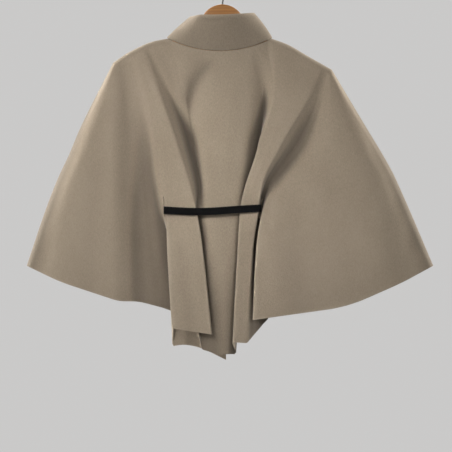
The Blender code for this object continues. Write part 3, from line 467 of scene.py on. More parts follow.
def grid(points, cut, uv):
    """A grid with its corners at points[row, column] (mm), without the cells in `cut`."""
    rows, columns = points.shape[:2]
    bpy.ops.object.select_all(action="DESELECT")
    bpy.ops.mesh.primitive_grid_add(
        x_subdivisions=columns - 1, y_subdivisions=rows - 1, size=1, calc_uvs=True)
    obj = bpy.context.active_object
    mesh = obj.data
    flat = np.empty(len(mesh.vertices) * 3)
    mesh.vertices.foreach_get("co", flat)
    flat = flat.reshape(-1, 3)
    column = np.rint((flat[:, 0] + 0.5) * (columns - 1)).astype(int)
    row = np.rint((flat[:, 1] + 0.5) * (rows - 1)).astype(int)
    mesh.vertices.foreach_set("co", (points[row, column] * MM).ravel())
    corners = np.empty(len(mesh.loops), dtype=np.int32)
    mesh.loops.foreach_get("vertex_index", corners)
    layer = mesh.uv_layers[0]
    layer.name = "cloth"
    layer.data.foreach_set("uv", (uv[row, column] * MM)[corners].ravel())
    if cut:
        order = row * columns + column
        cut = set(cut)
        bpy.ops.object.mode_set(mode="EDIT")
        bpy.ops.mesh.select_mode(type="FACE")
        bpy.ops.mesh.select_all(action="DESELECT")
        bpy.ops.object.mode_set(mode="OBJECT")
        for polygon in mesh.polygons:
            corner = min(order[index] for index in polygon.vertices)
            polygon.select = divmod(int(corner), columns) in cut
        bpy.ops.object.mode_set(mode="EDIT")
        bpy.ops.mesh.delete(type="FACE")
        bpy.ops.object.mode_set(mode="OBJECT")
    mesh.update()
    return obj


def round_edges(obj, width, segments, degrees):
    """A bevel, still to be applied, on every edge that is sharper than this angle."""
    bevel = obj.modifiers.new("rounded edges", "BEVEL")
    bevel.width = width * MM
    bevel.segments = segments
    bevel.limit_method = "ANGLE"
    bevel.angle_limit = math.radians(degrees)
    return bevel


def wall(obj, thickness, edge, segments, rim_slot=0):
    """Gives an open surface its thickness, half on each side, with rounded rims."""
    solid = obj.modifiers.new("wall", "SOLIDIFY")
    solid.thickness = thickness * MM
    solid.offset = 0
    solid.use_even_offset = True
    solid.use_quality_normals = True
    solid.material_offset_rim = rim_slot
    round_edges(obj, edge, segments, RIM_CORNER).miter_outer = "MITER_ARC"
    apply_all(obj)


def mark(obj, values, name):
    """Stores a number for each vertex, for the materials to read."""
    layer = obj.data.attributes.new(name, "FLOAT", "POINT")
    layer.data.foreach_set("value", values.astype(np.float32))


def marks_from(obj, points, **marks):
    """Gives the finished wall's corners the marks of the middle surface nearest to them."""
    flat = points.reshape(-1, 3) * MM
    tree = KDTree(len(flat))
    for index, at in enumerate(flat):
        tree.insert(at, index)
    tree.balance()
    nearest = [tree.find(v.co)[1] for v in obj.data.vertices]
    for name, values in marks.items():
        mark(obj, values.reshape(-1)[nearest], name)


# ---------------------------------------------------------------- lines and bends
def along(knots, values, at):
    """A smooth curve through `values` at `knots` that never overshoots them."""
    knots = np.asarray(knots, float)
    values = np.asarray(values, float)
    step = np.diff(knots)
    slope = np.diff(values) / step
    tangent = np.zeros(len(knots))
    tangent[0], tangent[-1] = slope[0], slope[-1]
    for i in range(1, len(knots) - 1):
        if slope[i - 1] * slope[i] > 0:
            near, far = 2 * step[i] + step[i - 1], step[i] + 2 * step[i - 1]
            tangent[i] = (near + far) / (near / slope[i - 1] + far / slope[i])
    i = int(np.clip(np.searchsorted(knots, at) - 1, 0, len(step) - 1))
    t = (at - knots[i]) / step[i]
    return ((1 + 2 * t) * (1 - t) ** 2 * values[i] + t * (1 - t) ** 2 * step[i] * tangent[i]
            + t * t * (3 - 2 * t) * values[i + 1] + t * t * (t - 1) * step[i] * tangent[i + 1])


def bend(before, corner, after, soft, steps, radius, plane=2):
    """Points of a round bend at `corner`: `steps` facets between its two tangent points.

    Angles and lengths are those seen from above, or in space where `plane` is 3.
    """
    if steps == 0:
        return [corner]
    back, on = before - corner, after - corner
    back_length, on_length = np.linalg.norm(back[:plane]), np.linalg.norm(on[:plane])
    back, on = back / back_length, on / on_length
    half = 0.5 * math.acos(float(np.clip(np.dot(back[:plane], on[:plane]), -1, 1)))
    tangent = max(soft, radius / max(math.tan(half), 1e-3))
    tangent = min(tangent, 0.45 * back_length, 0.45 * on_length)
    start, end = corner + back * tangent, corner + on * tangent
    weight = math.sin(half)
    points = []
    for i in range(steps + 1):
        t = i / steps
        a, b, c = (1 - t) ** 2, 2 * t * (1 - t) * weight, t * t
        points.append((a * start + b * corner + c * end) / (a + b + c))
    return points


def smooth(t):
    t = np.clip(t, 0, 1)
    return t * t * (3 - 2 * t)


def level_z(level, x):
    return level.middle_z + level.rise * max(0.0, abs(x) - level.flat_half)


def shoulder_z(x):
    line = SHOULDER_LEFT if x < 0 else SHOULDER_RIGHT
    xs, zs = zip(*line)
    return float(along(xs, zs, x))


def top_edge(x, neck_depth, neck_drop):
    """Distance from the hanger's plane, and height, of a panel's top edge at x."""
    t = (x - NECK_CENTRE) / NECK_HALF_WIDTH
    if abs(t) >= 1:
        return ROLL, shoulder_z(x)
    return max(ROLL, neck_depth * math.sqrt(1 - t * t)), NECK_SIDE_Z - neck_drop * (1 - t * t)


def to_shoulder(x, z):
    """Distance from each point to the shoulder seams, seen from the front."""
    best = np.full(x.shape, 1e9)
    for line in (SHOULDER_LEFT, SHOULDER_RIGHT):
        xs = np.linspace(line[0][0], line[-1][0], SHOULDER_PARTS + 1)
        zs = [shoulder_z(at) for at in xs]
        for ax, az, bx, bz in zip(xs, zs, xs[1:], zs[1:]):
            dx, dz = bx - ax, bz - az
            t = np.clip(((x - ax) * dx + (z - az) * dz) / (dx * dx + dz * dz), 0, 1)
            best = np.minimum(best, np.hypot(x - ax - t * dx, z - az - t * dz))
    return best


def rolled(distance):
    """How far the cloth has rounded over at this distance from a seam, from 0 to 1."""
    return np.sqrt(1 - (1 - np.clip(distance / ROLL, 0, 1)) ** 2)


# ---------------------------------------------------------------- panels
def is_seam(fold):
    return fold.name.startswith("seam")


def bend_steps(fold):
    if fold.soft == 0:
        return 0
    return KNIFE_STEPS if fold.soft < KNIFE_SOFT else SOFT_STEPS


def corners_at(panel, v):
    """Where the panel's fold lines cross the level v, as (x, depth, z)."""
    knots = (0, V_CHEST, V_RIBS, V_WAIST, V_SKIRT, 1)
    corners = []
    for f in panel.folds:
        top_y, top_z = top_edge(f.top, panel.neck_depth, panel.neck_drop)
        xs = (f.top, f.chest, f.ribs, f.waist, f.skirt, f.hem)
        ys = (top_y, f.chest_y, f.ribs_y, f.waist_y, f.skirt_y, f.hem_y)
        zs = (top_z, level_z(CHEST, f.chest), level_z(RIBS, f.ribs),
              level_z(WAIST, f.waist), level_z(SKIRT, f.skirt), f.hem_z)
        corner = np.array([along(knots, part, v) for part in (xs, ys, zs)])
        share = min(1.0, v / V_CHEST)
        midway = (4 * share * (1 - share)) ** 2
        corner += midway * np.array((f.bow, 2 * (1 - share) * f.lift, 0))
        corners.append(corner)
    return corners


def bends_at(panel, v):
    corners = corners_at(panel, v)
    last = len(corners) - 1
    more_soft = SOFT_TOP * max(0.0, 1 - v / V_SOFT) ** 2
    bends = []
    for i, f in enumerate(panel.folds):
        before, after = corners[max(i - 1, 0)], corners[min(i + 1, last)]
        soft = f.soft + more_soft
        bends.append(bend(before, corners[i], after, soft, bend_steps(f), FOLD_RADIUS))
    return bends


def run_parts(panel, facet):
    """How many facets each run between two bends takes, from its longest level."""
    longest = np.zeros(len(panel.folds) - 1)
    for v in (0, V_CHEST, V_RIBS, V_WAIST, V_SKIRT, 1):
        bends = bends_at(panel, v)
        for i in range(len(longest)):
            longest[i] = max(longest[i], np.linalg.norm(bends[i + 1][0] - bends[i][-1]))
    return [max(1, math.ceil(length / facet)) for length in longest]


def ring(panel, v, parts):
    """One row of a panel from side to side, as (x, depth, z)."""
    bends = bends_at(panel, v)
    row = []
    for i, f in enumerate(panel.folds):
        row += bends[i]
        if i + 1 == len(panel.folds):
            break
        start, end = bends[i][-1], bends[i + 1][0]
        length = np.linalg.norm(end - start)
        shares = [j / parts[i] for j in range(1, parts[i])]
        rolls = [min(step / length, ROLL_SHARE * (k + 1)) for k, step in enumerate(ROLL_STEPS)]
        left = 1 - rolls[-1]
        if is_seam(f):
            shares = rolls + [rolls[-1] + share * left for share in shares]
        if is_seam(panel.folds[i + 1]):
            shares = [share * left for share in shares] + [1 - roll for roll in rolls[::-1]]
        row += [start + share * (end - start) for share in shares]
    return np.array(row)


def fold_columns(panel, parts):
    """The first and last column of each fold's bend."""
    spans, column = {}, 0
    for i, f in enumerate(panel.folds):
        spans[f.name] = (column, column + bend_steps(f))
        column += bend_steps(f)
        if i < len(parts):
            column += parts[i]
            if is_seam(f) or is_seam(panel.folds[i + 1]):
                column += len(ROLL_STEPS)
    return spans


def levels(facet):
    """The rows down a panel: closer together where the cloth rolls over the seam."""
    fixed = list(ROLL_ROWS) + [V_SLIT_TOP, V_SLIT_FOOT, 1.0]
    rows = []
    for near, far in zip(fixed, fixed[1:]):
        parts = max(1, math.ceil((far - near) * CLOTH_LENGTH / facet))
        rows += [near + (far - near) * i / parts for i in range(parts)]
    return rows + [1.0]


def panel_points(panel, rows, parts):
    """The corners of a panel's middle surface, [row, column, xyz] in mm, before its
    unevenness, and how far each lies from the nearest seam."""
    points = np.array([ring(panel, v, parts) for v in rows])
    lift = np.zeros_like(points[0])
    for column, (x, y, z) in enumerate(points[0]):
        edge_y, edge_z = top_edge(x, panel.neck_depth, panel.neck_drop)
        lift[column] = (0, edge_y - y, edge_z - z)
    fade = np.clip(1 - np.array(rows) / V_CHEST, 0, 1) ** 2
    points += lift[None] * fade[:, None, None]
    x, z = points[..., 0], points[..., 2]
    reach = to_shoulder(x, z)
    for fold, end in ((panel.folds[0], slice(0, 1)), (panel.folds[-1], slice(-1, None))):
        if is_seam(fold):
            reach = np.minimum(reach, np.hypot(x - x[:, end], z - z[:, end]))
    points[..., 1] = panel.side * (SEAM + points[..., 1] * rolled(reach))
    return points, reach


def lengths_over(points):
    """The cloth's length across and down to each corner."""
    across = np.zeros(points.shape[:2])
    across[:, 1:] = np.cumsum(np.linalg.norm(np.diff(points, axis=1), axis=2), axis=1)
    down = np.zeros(points.shape[:2])
    down[1:] = np.cumsum(np.linalg.norm(np.diff(points, axis=0), axis=2), axis=0)
    return across, down


def outward_of(points, side):
    """The panel's normals on its outer face."""
    normal = np.cross(np.gradient(points, axis=1), np.gradient(points, axis=0))
    normal /= np.maximum(np.linalg.norm(normal, axis=2, keepdims=True), 1e-9)
    return normal * np.sign(np.median(normal[..., 1]) * side)


def to_pressed_folds(panel, spans, across):
    """Distance along the cloth from each corner to the nearest pressed fold."""
    best = np.full(across.shape, 1e9)
    for fold in panel.folds:
        if not 0 < fold.soft < KNIFE_SOFT:
            continue
        first, last = spans[fold.name]
        middle = 0.5 * (across[:, first] + across[:, last])
        half = 0.5 * (across[:, last] - across[:, first])
        best = np.minimum(best, np.maximum(0, np.abs(across - middle[:, None]) - half[:, None]))
    return best


def points_at(line, at, to):
    """The points at the lengths `to` along a line whose corners lie at the lengths `at`."""
    return np.stack([np.interp(to, at, line[:, axis]) for axis in range(3)], axis=1)


def turning(points):
    """How far the cloth turns within TURN_REACH to each side of a corner, as an angle."""
    across = lengths_over(points)[0]
    angle = np.zeros(across.shape)
    for row, (line, at) in enumerate(zip(points, across)):
        ahead = points_at(line, at, at + TURN_REACH) - line
        behind = line - points_at(line, at, at - TURN_REACH)
        lengths = np.linalg.norm(ahead, axis=1) * np.linalg.norm(behind, axis=1)
        cosine = np.sum(ahead * behind, axis=1) / np.maximum(lengths, 1e-9)
        angle[row] = np.arccos(np.clip(cosine, -1, 1)) * (lengths > 1)
    return angle


def crease_offset(panel, spans, rows, across):
    """How far the soft creases raise or sink the cloth at each corner, in mm."""
    offset = np.zeros(across.shape)

    def place(name, share):
        first, last = run_after(panel, spans, name)
        return first + share * (last - first)

    for c in panel.creases:
        start, end = place(c.fold, c.share), place(c.end_fold, c.end_share)
        for row, v in enumerate(rows):
            if not c.v <= v <= c.end_v:
                continue
            t = (v - c.v) / (c.end_v - c.v)
            column = start + (end - start) * t
            low = int(column)
            high = min(low + 1, across.shape[1] - 1)
            middle = across[row, low] + (column - low) * (across[row, high] - across[row, low])
            swell = smooth(t / CREASE_FADE)
            if c.end_v < 1:
                swell *= smooth((1 - t) / CREASE_FADE)
            offset[row] += c.depth * swell * np.exp(-((across[row] - middle) / c.width) ** 2)
    return offset


def slow_waves(across, down, seed):
    """The cloth's slow unevenness, from -1 to 1: long upright waves that drift."""
    waves = np.zeros(across.shape)
    for w in WAVES:
        turns = (w.across * across + w.down * down) * MM
        waves += w.share * np.sin(2 * math.pi * turns + w.by_seed * seed + w.start)
    return waves


def near_belt(points):
    """How flat the belt presses each corner, from 0 to 1."""
    x, z = points[..., 0], points[..., 2]
    under = (x > BELT_LIES[0]) & (x < BELT_LIES[1])
    return under * (1 - smooth((np.abs(z - BELT_Z) - BELT_FLAT) / BELT_FADE))


def slit_cells(panel, spans, rows):
    """The cells of the grid, as (row, column), that the belt's slits leave out."""
    cells = []
    for slit in panel.slits:
        first, last = run_after(panel, spans, slit)
        column = first + (last - first) // 2
        cells += [(row, column) for row in range(rows.index(V_SLIT_TOP), rows.index(V_SLIT_FOOT))]
    return cells


def panel_cloth(panel, cloth):
    """A panel's middle surface with its creases, its corners in mm and their marks."""
    facet = cloth.facet / MM
    parts, rows = run_parts(panel, facet), levels(facet)
    points, reach = panel_points(panel, rows, parts)
    spans = fold_columns(panel, parts)
    across, down = lengths_over(points)
    pressed = to_pressed_folds(panel, spans, across)
    calm = smooth(reach / CALM_SEAM) * smooth(pressed / CALM_PRESSED)
    calm *= smooth(np.array(rows) / CALM_TOP)[:, None]
    waves = cloth.ripple / MM * slow_waves(across, down, panel.seed)
    creases = crease_offset(panel, spans, rows, across)
    offset = calm * (waves + creases) * (1 - near_belt(points))
    points = points + outward_of(points, panel.side) * offset[..., None]
    sharp = smooth(turning(points) - RUBBED_TURN) * np.exp(-(pressed / RUBBED_FOLD) ** 2)
    rubbed = np.maximum(sharp, np.exp(-((down[-1] - down) / RUBBED_EDGE) ** 2))
    # Painted shade: darker behind the folds beside it, in crease troughs, most near pressed folds.
    trough_shade = TROUGH_SHADE * np.maximum(-calm * creases, 0)
    shade_share = SHADE_OPEN + (1 - SHADE_OPEN) * np.exp(-(pressed / SHADE_REACH) ** 2)
    folded = np.minimum(painted_shade_depth(points) * shade_share + trough_shade, 1)
    cut, uv = slit_cells(panel, spans, rows), np.stack((across, -down), axis=2)
    if panel.side > 0:
        points, uv = points[:, ::-1], uv[:, ::-1]
        rubbed, folded = rubbed[:, ::-1], folded[:, ::-1]
        cut = [(row, points.shape[1] - 2 - column) for row, column in cut]
    return grid(points, cut, uv), points, rubbed, folded


def painted_shade_depth(points):
    """How deep each corner lies behind the folds beside it, from 0 to 1: the painted shade's mask.
    """
    deep = np.zeros(points.shape[:2])
    for row, line in enumerate(points):
        away = np.abs(line[:, None, 0] - line[None, :, 0])
        out = (np.abs(line[None, :, 1]) - SHADE_SLOPE * away).max(axis=1)
        deep[row] = smooth((out - np.abs(line[:, 1]) - SHADE_SHALLOW) / SHADE_DEEP)
    return deep


def run_after(panel, spans, name):
    """The first and last column of the run of cloth from a fold to the next one."""
    names = [f.name for f in panel.folds]
    return spans[name][1], spans[names[names.index(name) + 1]][0]


# ---------------------------------------------------------------- operators
class CAPE_OT_panels(bpy.types.Operator):
    """Make the back and the two fronts of the cape"""
    bl_idname = "cape.panels"
    bl_label = "Back and fronts"

    def execute(self, context):
        cloth = context.scene.cape_cloth
        for panel in PANELS:
            obj, points, rubbed, folded = panel_cloth(panel, cloth)
            wall(obj, cloth.thickness / MM, CLOTH_EDGE, 2, 1)
            marks_from(obj, points, rubbed=rubbed, folded=folded)
            finish_piece(obj, panel.name, "wool", panel.node, CLOTH_SMOOTH, *wool_materials(cloth))
        return {"FINISHED"}


def collar_ends(angle):
    """A collar column's two ends, on the neck seam and on the top edge."""
    side, out = math.cos(angle), math.sin(angle)
    if out < 0:
        base_depth, top_depth = NECK_DEPTH_BACK, COLLAR_TOP_DEPTH_BACK
        base_drop, top_drop = NECK_DROP_BACK, COLLAR_TOP_DROP_BACK
    else:
        right = angle > math.pi
        base_depth = NECK_DEPTH_RIGHT if right else NECK_DEPTH_LEFT
        top_depth = COLLAR_TOP_DEPTH_RIGHT if right else COLLAR_TOP_DEPTH_LEFT
        base_drop, top_drop = NECK_DROP_FRONT, COLLAR_TOP_DROP_FRONT
    lift = COLLAR_LIFT + COLLAR_SIDE_LIFT * side ** 4
    base = np.array((NECK_CENTRE + NECK_HALF_WIDTH * side, base_depth * out,
                     NECK_SIDE_Z - base_drop * out * out + lift))
    top = np.array((COLLAR_TOP_CENTRE + COLLAR_TOP_HALF_WIDTH * side, top_depth * out,
                    COLLAR_TOP_Z - top_drop * out * out + COLLAR_TILT * side))
    slump = smooth((-side - COLLAR_SLUMP_FROM) / (1 - COLLAR_SLUMP_FROM))
    return base, top + slump * np.array(COLLAR_SLUMP)


def trough_depth(x, height):
    """How far the collar's back is sunk below its top edge at this place, in mm."""
    t = (x - COLLAR_TROUGH.x) / COLLAR_TROUGH.reach
    middle = COLLAR_TROUGH.height + COLLAR_TROUGH.rise * t * t
    off = (height - middle) / COLLAR_TROUGH.width
    return COLLAR_TROUGH.depth * max(0.0, 1 - t * t) * math.exp(-off * off)


class CAPE_OT_collar(bpy.types.Operator):
    """Make the stand collar"""
    bl_idname = "cape.collar"
    bl_label = "Stand collar"

    def execute(self, context):
        cloth = context.scene.cape_cloth
        angles = np.linspace(COLLAR_START, COLLAR_END, COLLAR_COLUMNS)
        points = np.zeros((COLLAR_ROWS, COLLAR_COLUMNS, 3))
        for column, angle in enumerate(angles):
            base, top = collar_ends(angle)
            out = np.array((math.cos(angle), math.sin(angle), 0))
            for row in range(COLLAR_ROWS):
                height = row / (COLLAR_ROWS - 1)
                swell = COLLAR_SWELL * 4 * height * (1 - height)
                if out[1] < 0:
                    swell -= trough_depth(top[0], height)
                wave = COLLAR_WAVE * math.sin(COLLAR_WAVES * angle + COLLAR_WAVE_START)
                swell += wave * height * (1 - height)
                points[row, column] = base + (top - base) * height + swell * out
        across, down = lengths_over(points)
        obj = grid(points, (), np.stack((across, down), axis=2))
        # The rim takes the edge finish, and the top edge and front ends are rubbed lighter: wear on
        # the raw edges, and partly a painted highlight along the collar's top edge.
        wall(obj, COLLAR_CLOTH, COLLAR_EDGE, 3, 1)
        edge = np.minimum(down[-1] - down, np.minimum(across, across[:, -1:] - across))
        # Painted shade: the collar is darker from a little below its top edge down to its foot.
        collar_painted_shade = COLLAR_SHADE_AMOUNT * smooth((down[-1] - down) / COLLAR_SHADE_FROM)
        marks_from(obj, points, rubbed=np.exp(-(edge / RUBBED_EDGE) ** 2), folded=collar_painted_shade)
        finish_piece(obj, "collar_cloth", "wool", "stand_collar", CLOTH_SMOOTH,
                     *wool_materials(cloth))
        return {"FINISHED"}


# ---------------------------------------------------------------- belt
def belt_line():
    """The strap's middle line, and for each stretch of it whether it has a slot in it."""
    at = [np.array((s.x, s.y, s.z), float) for s in BELT_ROUTE]
    line, slotted = [], []
    for i, stop in enumerate(BELT_ROUTE):
        if stop.bend:
            points = bend(at[i - 1], at[i], at[i + 1], stop.bend, BELT_BEND_STEPS, WRAP)
        else:
            points = [at[i]]
        line += points
        slotted += [stop.slotted] * len(points)
        if i + 1 < len(BELT_ROUTE):
            end = at[i + 1]
            if BELT_ROUTE[i + 1].bend:
                end = bend(at[i], at[i + 1], at[i + 2], BELT_ROUTE[i + 1].bend,
                           BELT_BEND_STEPS, WRAP)[0]
            parts = math.ceil(np.linalg.norm(end - points[-1]) / BELT_STRETCH)
            line += [points[-1] + (end - points[-1]) * j / parts for j in range(1, parts)]
            slotted += [stop.slotted] * (parts - 1)
    shoulder = line[-2]
    shares = [math.sin(0.5 * math.pi * (i + 1) / TIP_COLUMNS) for i in range(TIP_COLUMNS)]
    line[-1:] = [shoulder + (at[-1] - shoulder) * share for share in shares]
    return line, slotted


def strap_points(line):
    """The corners of the strap's middle surface, narrower towards its tip."""
    points = np.zeros((len(BELT_ROWS), len(line), 3))
    for column, middle in enumerate(line):
        left = np.linalg.norm(line[-1] - middle) / TIP_LENGTH
        narrow = 1.0
        if column >= len(line) - TIP_COLUMNS and left < 1:
            narrow = max(TIP_BLUNT, math.sqrt(1 - (1 - left) ** 2))
        for row, up in enumerate(BELT_ROWS):
            points[row, column] = middle + np.array((0, 0, up * narrow))
    return points


class CAPE_OT_belt(bpy.types.Operator):
    """Make the leather belt and its keeper"""
    bl_idname = "cape.belt"
    bl_label = "Belt"

    def execute(self, context):
        mat = leather_material(context.scene.cape_belt)
        line, slotted = belt_line()
        points = strap_points(line)
        cut = [(row, column) for column, slot in enumerate(slotted) if slot
               for row in BELT_SLOT_ROWS]
        across, down = lengths_over(points)
        obj = grid(points, cut, np.stack((across, down), axis=2))
        wall(obj, BELT_THICK, BELT_EDGE, 3)
        edge = np.minimum(down, down[-1] - down)
        marks_from(obj, points, rubbed=np.exp(-(edge / LEATHER_RUBBED) ** 2))
        finish_piece(obj, "leather_strap", "leather", "belt_strap", LEATHER_SMOOTH, mat)
        obj = keeper_loop()
        away = np.array([abs(v.co.x / MM - KEEPER_X) for v in obj.data.vertices])
        mark(obj, away > KEEPER_RUBBED, "rubbed")
        finish_piece(obj, "leather_keeper", "leather", "belt_keeper", LEATHER_SMOOTH, mat)
        return {"FINISHED"}


def rounded(points, bend_radius, steps, cyclic):
    """A polyline with its corners, other than its open ends, turned into round bends."""
    at = [np.array(p, float) for p in points]
    count = len(at)
    result = []
    for i, corner in enumerate(at):
        if not cyclic and i in (0, count - 1):
            result.append(corner)
            continue
        result += bend(at[i - 1], corner, at[(i + 1) % count], bend_radius, steps, 0, 3)
    return result


def keeper_loop():
    """A leather loop round the strap's three layers beside the buckle."""
    grow = BELT_THICK / 2 + KEEPER_ROOM + KEEPER_THICK / 2
    inner, outer = BAR_Y - WRAP - grow, TAIL_Y + grow
    half = BELT_WIDTH / 2 + KEEPER_ROOM + KEEPER_THICK / 2
    low, high = BELT_Z - half, BELT_Z + half
    corners = ((0, inner, low), (0, outer, low), (0, outer, high), (0, inner, high))
    path = rounded(corners, KEEPER_BEND, KEEPER_BEND_STEPS, True)
    bpy.ops.object.select_all(action="DESELECT")
    bpy.ops.mesh.primitive_cylinder_add(
        vertices=len(path), radius=1, depth=2, end_fill_type="NOTHING", rotation=(0, 0, 0))
    obj = bpy.context.active_object
    turn = 2 * math.pi / len(path)
    for vertex in obj.data.vertices:
        angle = math.atan2(vertex.co.x, vertex.co.y)
        at = path[round(angle / turn) % len(path)]
        x = KEEPER_X + math.copysign(KEEPER_WIDTH / 2, vertex.co.z)
        vertex.co = Vector((x, at[1], at[2])) * MM
    face_outwards(obj)
    wall(obj, KEEPER_THICK, KEEPER_EDGE, 3)
    return obj


def tube(points, radius, sides, cyclic):
    """A round wire along a path of points (mm), as a mesh with closed ends."""
    bpy.ops.object.select_all(action="DESELECT")
    bpy.ops.curve.primitive_nurbs_path_add()
    obj = bpy.context.active_object
    curve = obj.data
    curve.splines.clear()
    curve.dimensions = "3D"
    curve.bevel_depth = radius * MM
    curve.bevel_resolution = sides // 2 - 2
    curve.use_fill_caps = not cyclic
    spline = curve.splines.new("POLY")
    spline.points.add(len(points) - 1)
    for target, at in zip(spline.points, points):
        target.co = (*(Vector(at) * MM), 1)
    spline.use_cyclic_u = cyclic
    bpy.ops.object.convert(target="MESH")
    obj = bpy.context.active_object
    face_outwards(obj, merge=0.01)
    return obj


class CAPE_OT_buckle(bpy.types.Operator):
    """Make the belt's buckle"""
    bl_idname = "cape.buckle"
    bl_label = "Buckle"

    def execute(self, context):
        mat = steel_material("bright steel", context.scene.cape_belt.steel)
        low, high = BELT_Z - BUCKLE_HALF_HEIGHT, BELT_Z + BUCKLE_HALF_HEIGHT
        corners = ((BAR_X, BAR_Y, low), (BAR_X, BAR_Y, high),
                   (FRAME_X, FRAME_Y, high), (FRAME_X, FRAME_Y, low))
        obj = tube(rounded(corners, WIRE_BEND, WIRE_BEND_STEPS, True), WIRE, WIRE_SIDES, True)
        finish_piece(obj, "buckle_frame", "steel", "belt_buckle_frame", WIRE_SMOOTH, mat)
        eye = WIRE + CLEAR + PRONG
        rest_y = FRAME_Y + eye
        route = [(BAR_X + PRONG_EYE, BAR_Y - eye), (BAR_X - eye, BAR_Y - eye),
                 (BAR_X - eye, BAR_Y + PRONG_RISE[0][1])]
        route += [(x, BAR_Y + rise) for x, rise in PRONG_RISE]
        route += [(FRAME_X, rest_y), (FRAME_X - PRONG_TIP, rest_y - PRONG_DROOP)]
        points = rounded([(x, y, BELT_Z) for x, y in route],
                         PRONG_BEND, PRONG_BEND_STEPS, False)
        obj = tube(points, PRONG, PRONG_SIDES, False)
        finish_piece(obj, "buckle_prong", "steel", "belt_buckle_prong", WIRE_SMOOTH, mat)
        return {"FINISHED"}


# ---------------------------------------------------------------- hanger
def arm_line(line, drop_neck, drop_tip):
    """The shoulder line moved down, from its neck end to its tip."""
    ends = sorted((line[0][0], line[-1][0]), key=abs)
    points = []
    for i in range(ARM_PARTS + 1):
        share = i / ARM_PARTS
        x = ends[0] + (ends[1] - ends[0]) * share
        dip = NECK_DIP * max(0.0, 1 - abs(x - ends[0]) / NECK_DIP_REACH)
        points.append((x, shoulder_z(x) - dip - drop_neck - (drop_tip - drop_neck) * share))
    return points


def hanger_outline():
    """The hanger seen from the front: right arm, left arm, then over the head."""
    under = HANGER_UNDER * SLOPE
    right_top, left_top = (arm_line(line, under, under)[:-1]
                           for line in (SHOULDER_RIGHT, SHOULDER_LEFT))
    right_low, left_low = (arm_line(line, ARM_DEPTH_NECK, ARM_DEPTH_TIP)[::ARM_LOW_STEP]
                           for line in (SHOULDER_RIGHT, SHOULDER_LEFT))
    head = [round_point(HEAD_X, HEAD_Z, HEAD_RADIUS, degrees)
            for degrees in range(HEAD_START, 181 - HEAD_START, HEAD_STEP)]
    outline = [(NECK_JOIN_X, NECK_JOIN_Z)] + right_top + right_low[::-1]
    outline += left_low + left_top[::-1] + [(-NECK_JOIN_X, NECK_JOIN_Z)] + head[::-1]
    return outline


def round_point(centre_x, centre_z, radius, degrees):
    a = math.radians(degrees)
    return centre_x + radius * math.cos(a), centre_z + radius * math.sin(a)


class CAPE_OT_hanger(bpy.types.Operator):
    """Make the wooden hanger and its steel hook"""
    bl_idname = "cape.hanger"
    bl_label = "Hanger and hook"

    def execute(self, context):
        settings = context.scene.cape_hanger
        finish_piece(hanger_wood(), "wooden_hanger", "wood", "hanger", WOOD_SMOOTH,
                     wood_material(settings))
        finish_piece(hook_wire(), "steel_hook", "steel", "hanger_hook", HOOK_SMOOTH,
                     steel_material("dark steel", settings.steel))
        return {"FINISHED"}


def hanger_wood():
    """The hanger's outline as a rounded board, with the bore for the hook's stem."""
    outline = hanger_outline()
    bpy.ops.object.select_all(action="DESELECT")
    bpy.ops.mesh.primitive_circle_add(
        vertices=len(outline), radius=1, fill_type="NGON", location=(0, 0, 0))
    obj = bpy.context.active_object
    turn = 2 * math.pi / len(outline)
    for vertex in obj.data.vertices:
        angle = math.atan2(-vertex.co.x, vertex.co.y)
        x, z = outline[round(angle / turn) % len(outline)]
        vertex.co = Vector((x, -HANGER_THICK / 2, z)) * MM
    bpy.ops.object.mode_set(mode="EDIT")
    bpy.ops.mesh.select_all(action="SELECT")
    bpy.ops.mesh.extrude_region_move(
        TRANSFORM_OT_translate={"value": (0, HANGER_THICK * MM, 0)})
    bpy.ops.object.mode_set(mode="OBJECT")
    face_outwards(obj)
    round_edges(obj, HANGER_EDGE, HANGER_EDGE_STEPS, SOLID_CORNER)
    apply_all(obj)
    bore = bore_cutter()
    cut = obj.modifiers.new("hook bore", "BOOLEAN")
    cut.operation = "DIFFERENCE"
    cut.solver = "EXACT"
    cut.object = bore
    apply_all(obj)
    bpy.data.objects.remove(bore, do_unlink=True)
    return obj


def hook_wire():
    """The hook: a stem up from the wood, bent out and round the rail."""
    middle = HOOK_RADIUS + HOOK_WIRE
    foot = HEAD_Z + HEAD_RADIUS - HOOK_SEAT
    stem = [(HEAD_X + x, 0, z) for x, z in HOOK_STEM]
    bow = []
    for degrees in range(HOOK_FROM, HOOK_TO, HOOK_STEP):
        x, z = round_point(0, -HOOK_RADIUS, middle, degrees)
        bow.append((x, 0, z))
    points = [(HEAD_X, 0, foot)] + rounded(stem[:3], HOOK_BEND, 4, False)[:-1]
    points += rounded([points[-1], stem[2], stem[3], bow[0]], HOOK_BEND, 4, False)[1:-1]
    obj = tube(points + bow, HOOK_WIRE, HOOK_SIDES, False)
    round_edges(obj, HOOK_TIP, 3, SOLID_CORNER)
    apply_all(obj)
    return obj


def bore_cutter():
    """A rod, wider than the hook's stem, that stands in the hanger's head."""
    top = HEAD_Z + HEAD_RADIUS
    bpy.ops.object.select_all(action="DESELECT")
    bpy.ops.mesh.primitive_cylinder_add(
        vertices=BORE_SIDES, radius=HOOK_BORE * MM, depth=(HOOK_SEAT + BORE_ABOVE) * MM,
        location=(HEAD_X * MM, 0, (top + (BORE_ABOVE - HOOK_SEAT) / 2 - CLEAR) * MM))
    return bpy.context.active_object


# ---------------------------------------------------------------- materials
def node(tree, kind, settings=(), **inputs):
    """Adds a node and sets its properties and inputs, which are named or, as _3, numbered."""
    made = tree.nodes.new(kind)
    for key, value in dict(settings).items():
        setattr(made, key, value)
    for key, value in inputs.items():
        socket = made.inputs[int(key[1:]) if key[0] == "_" else key.replace("_", " ")]
        if isinstance(value, bpy.types.NodeSocket):
            tree.links.new(value, socket)
        else:
            socket.default_value = value
    return made


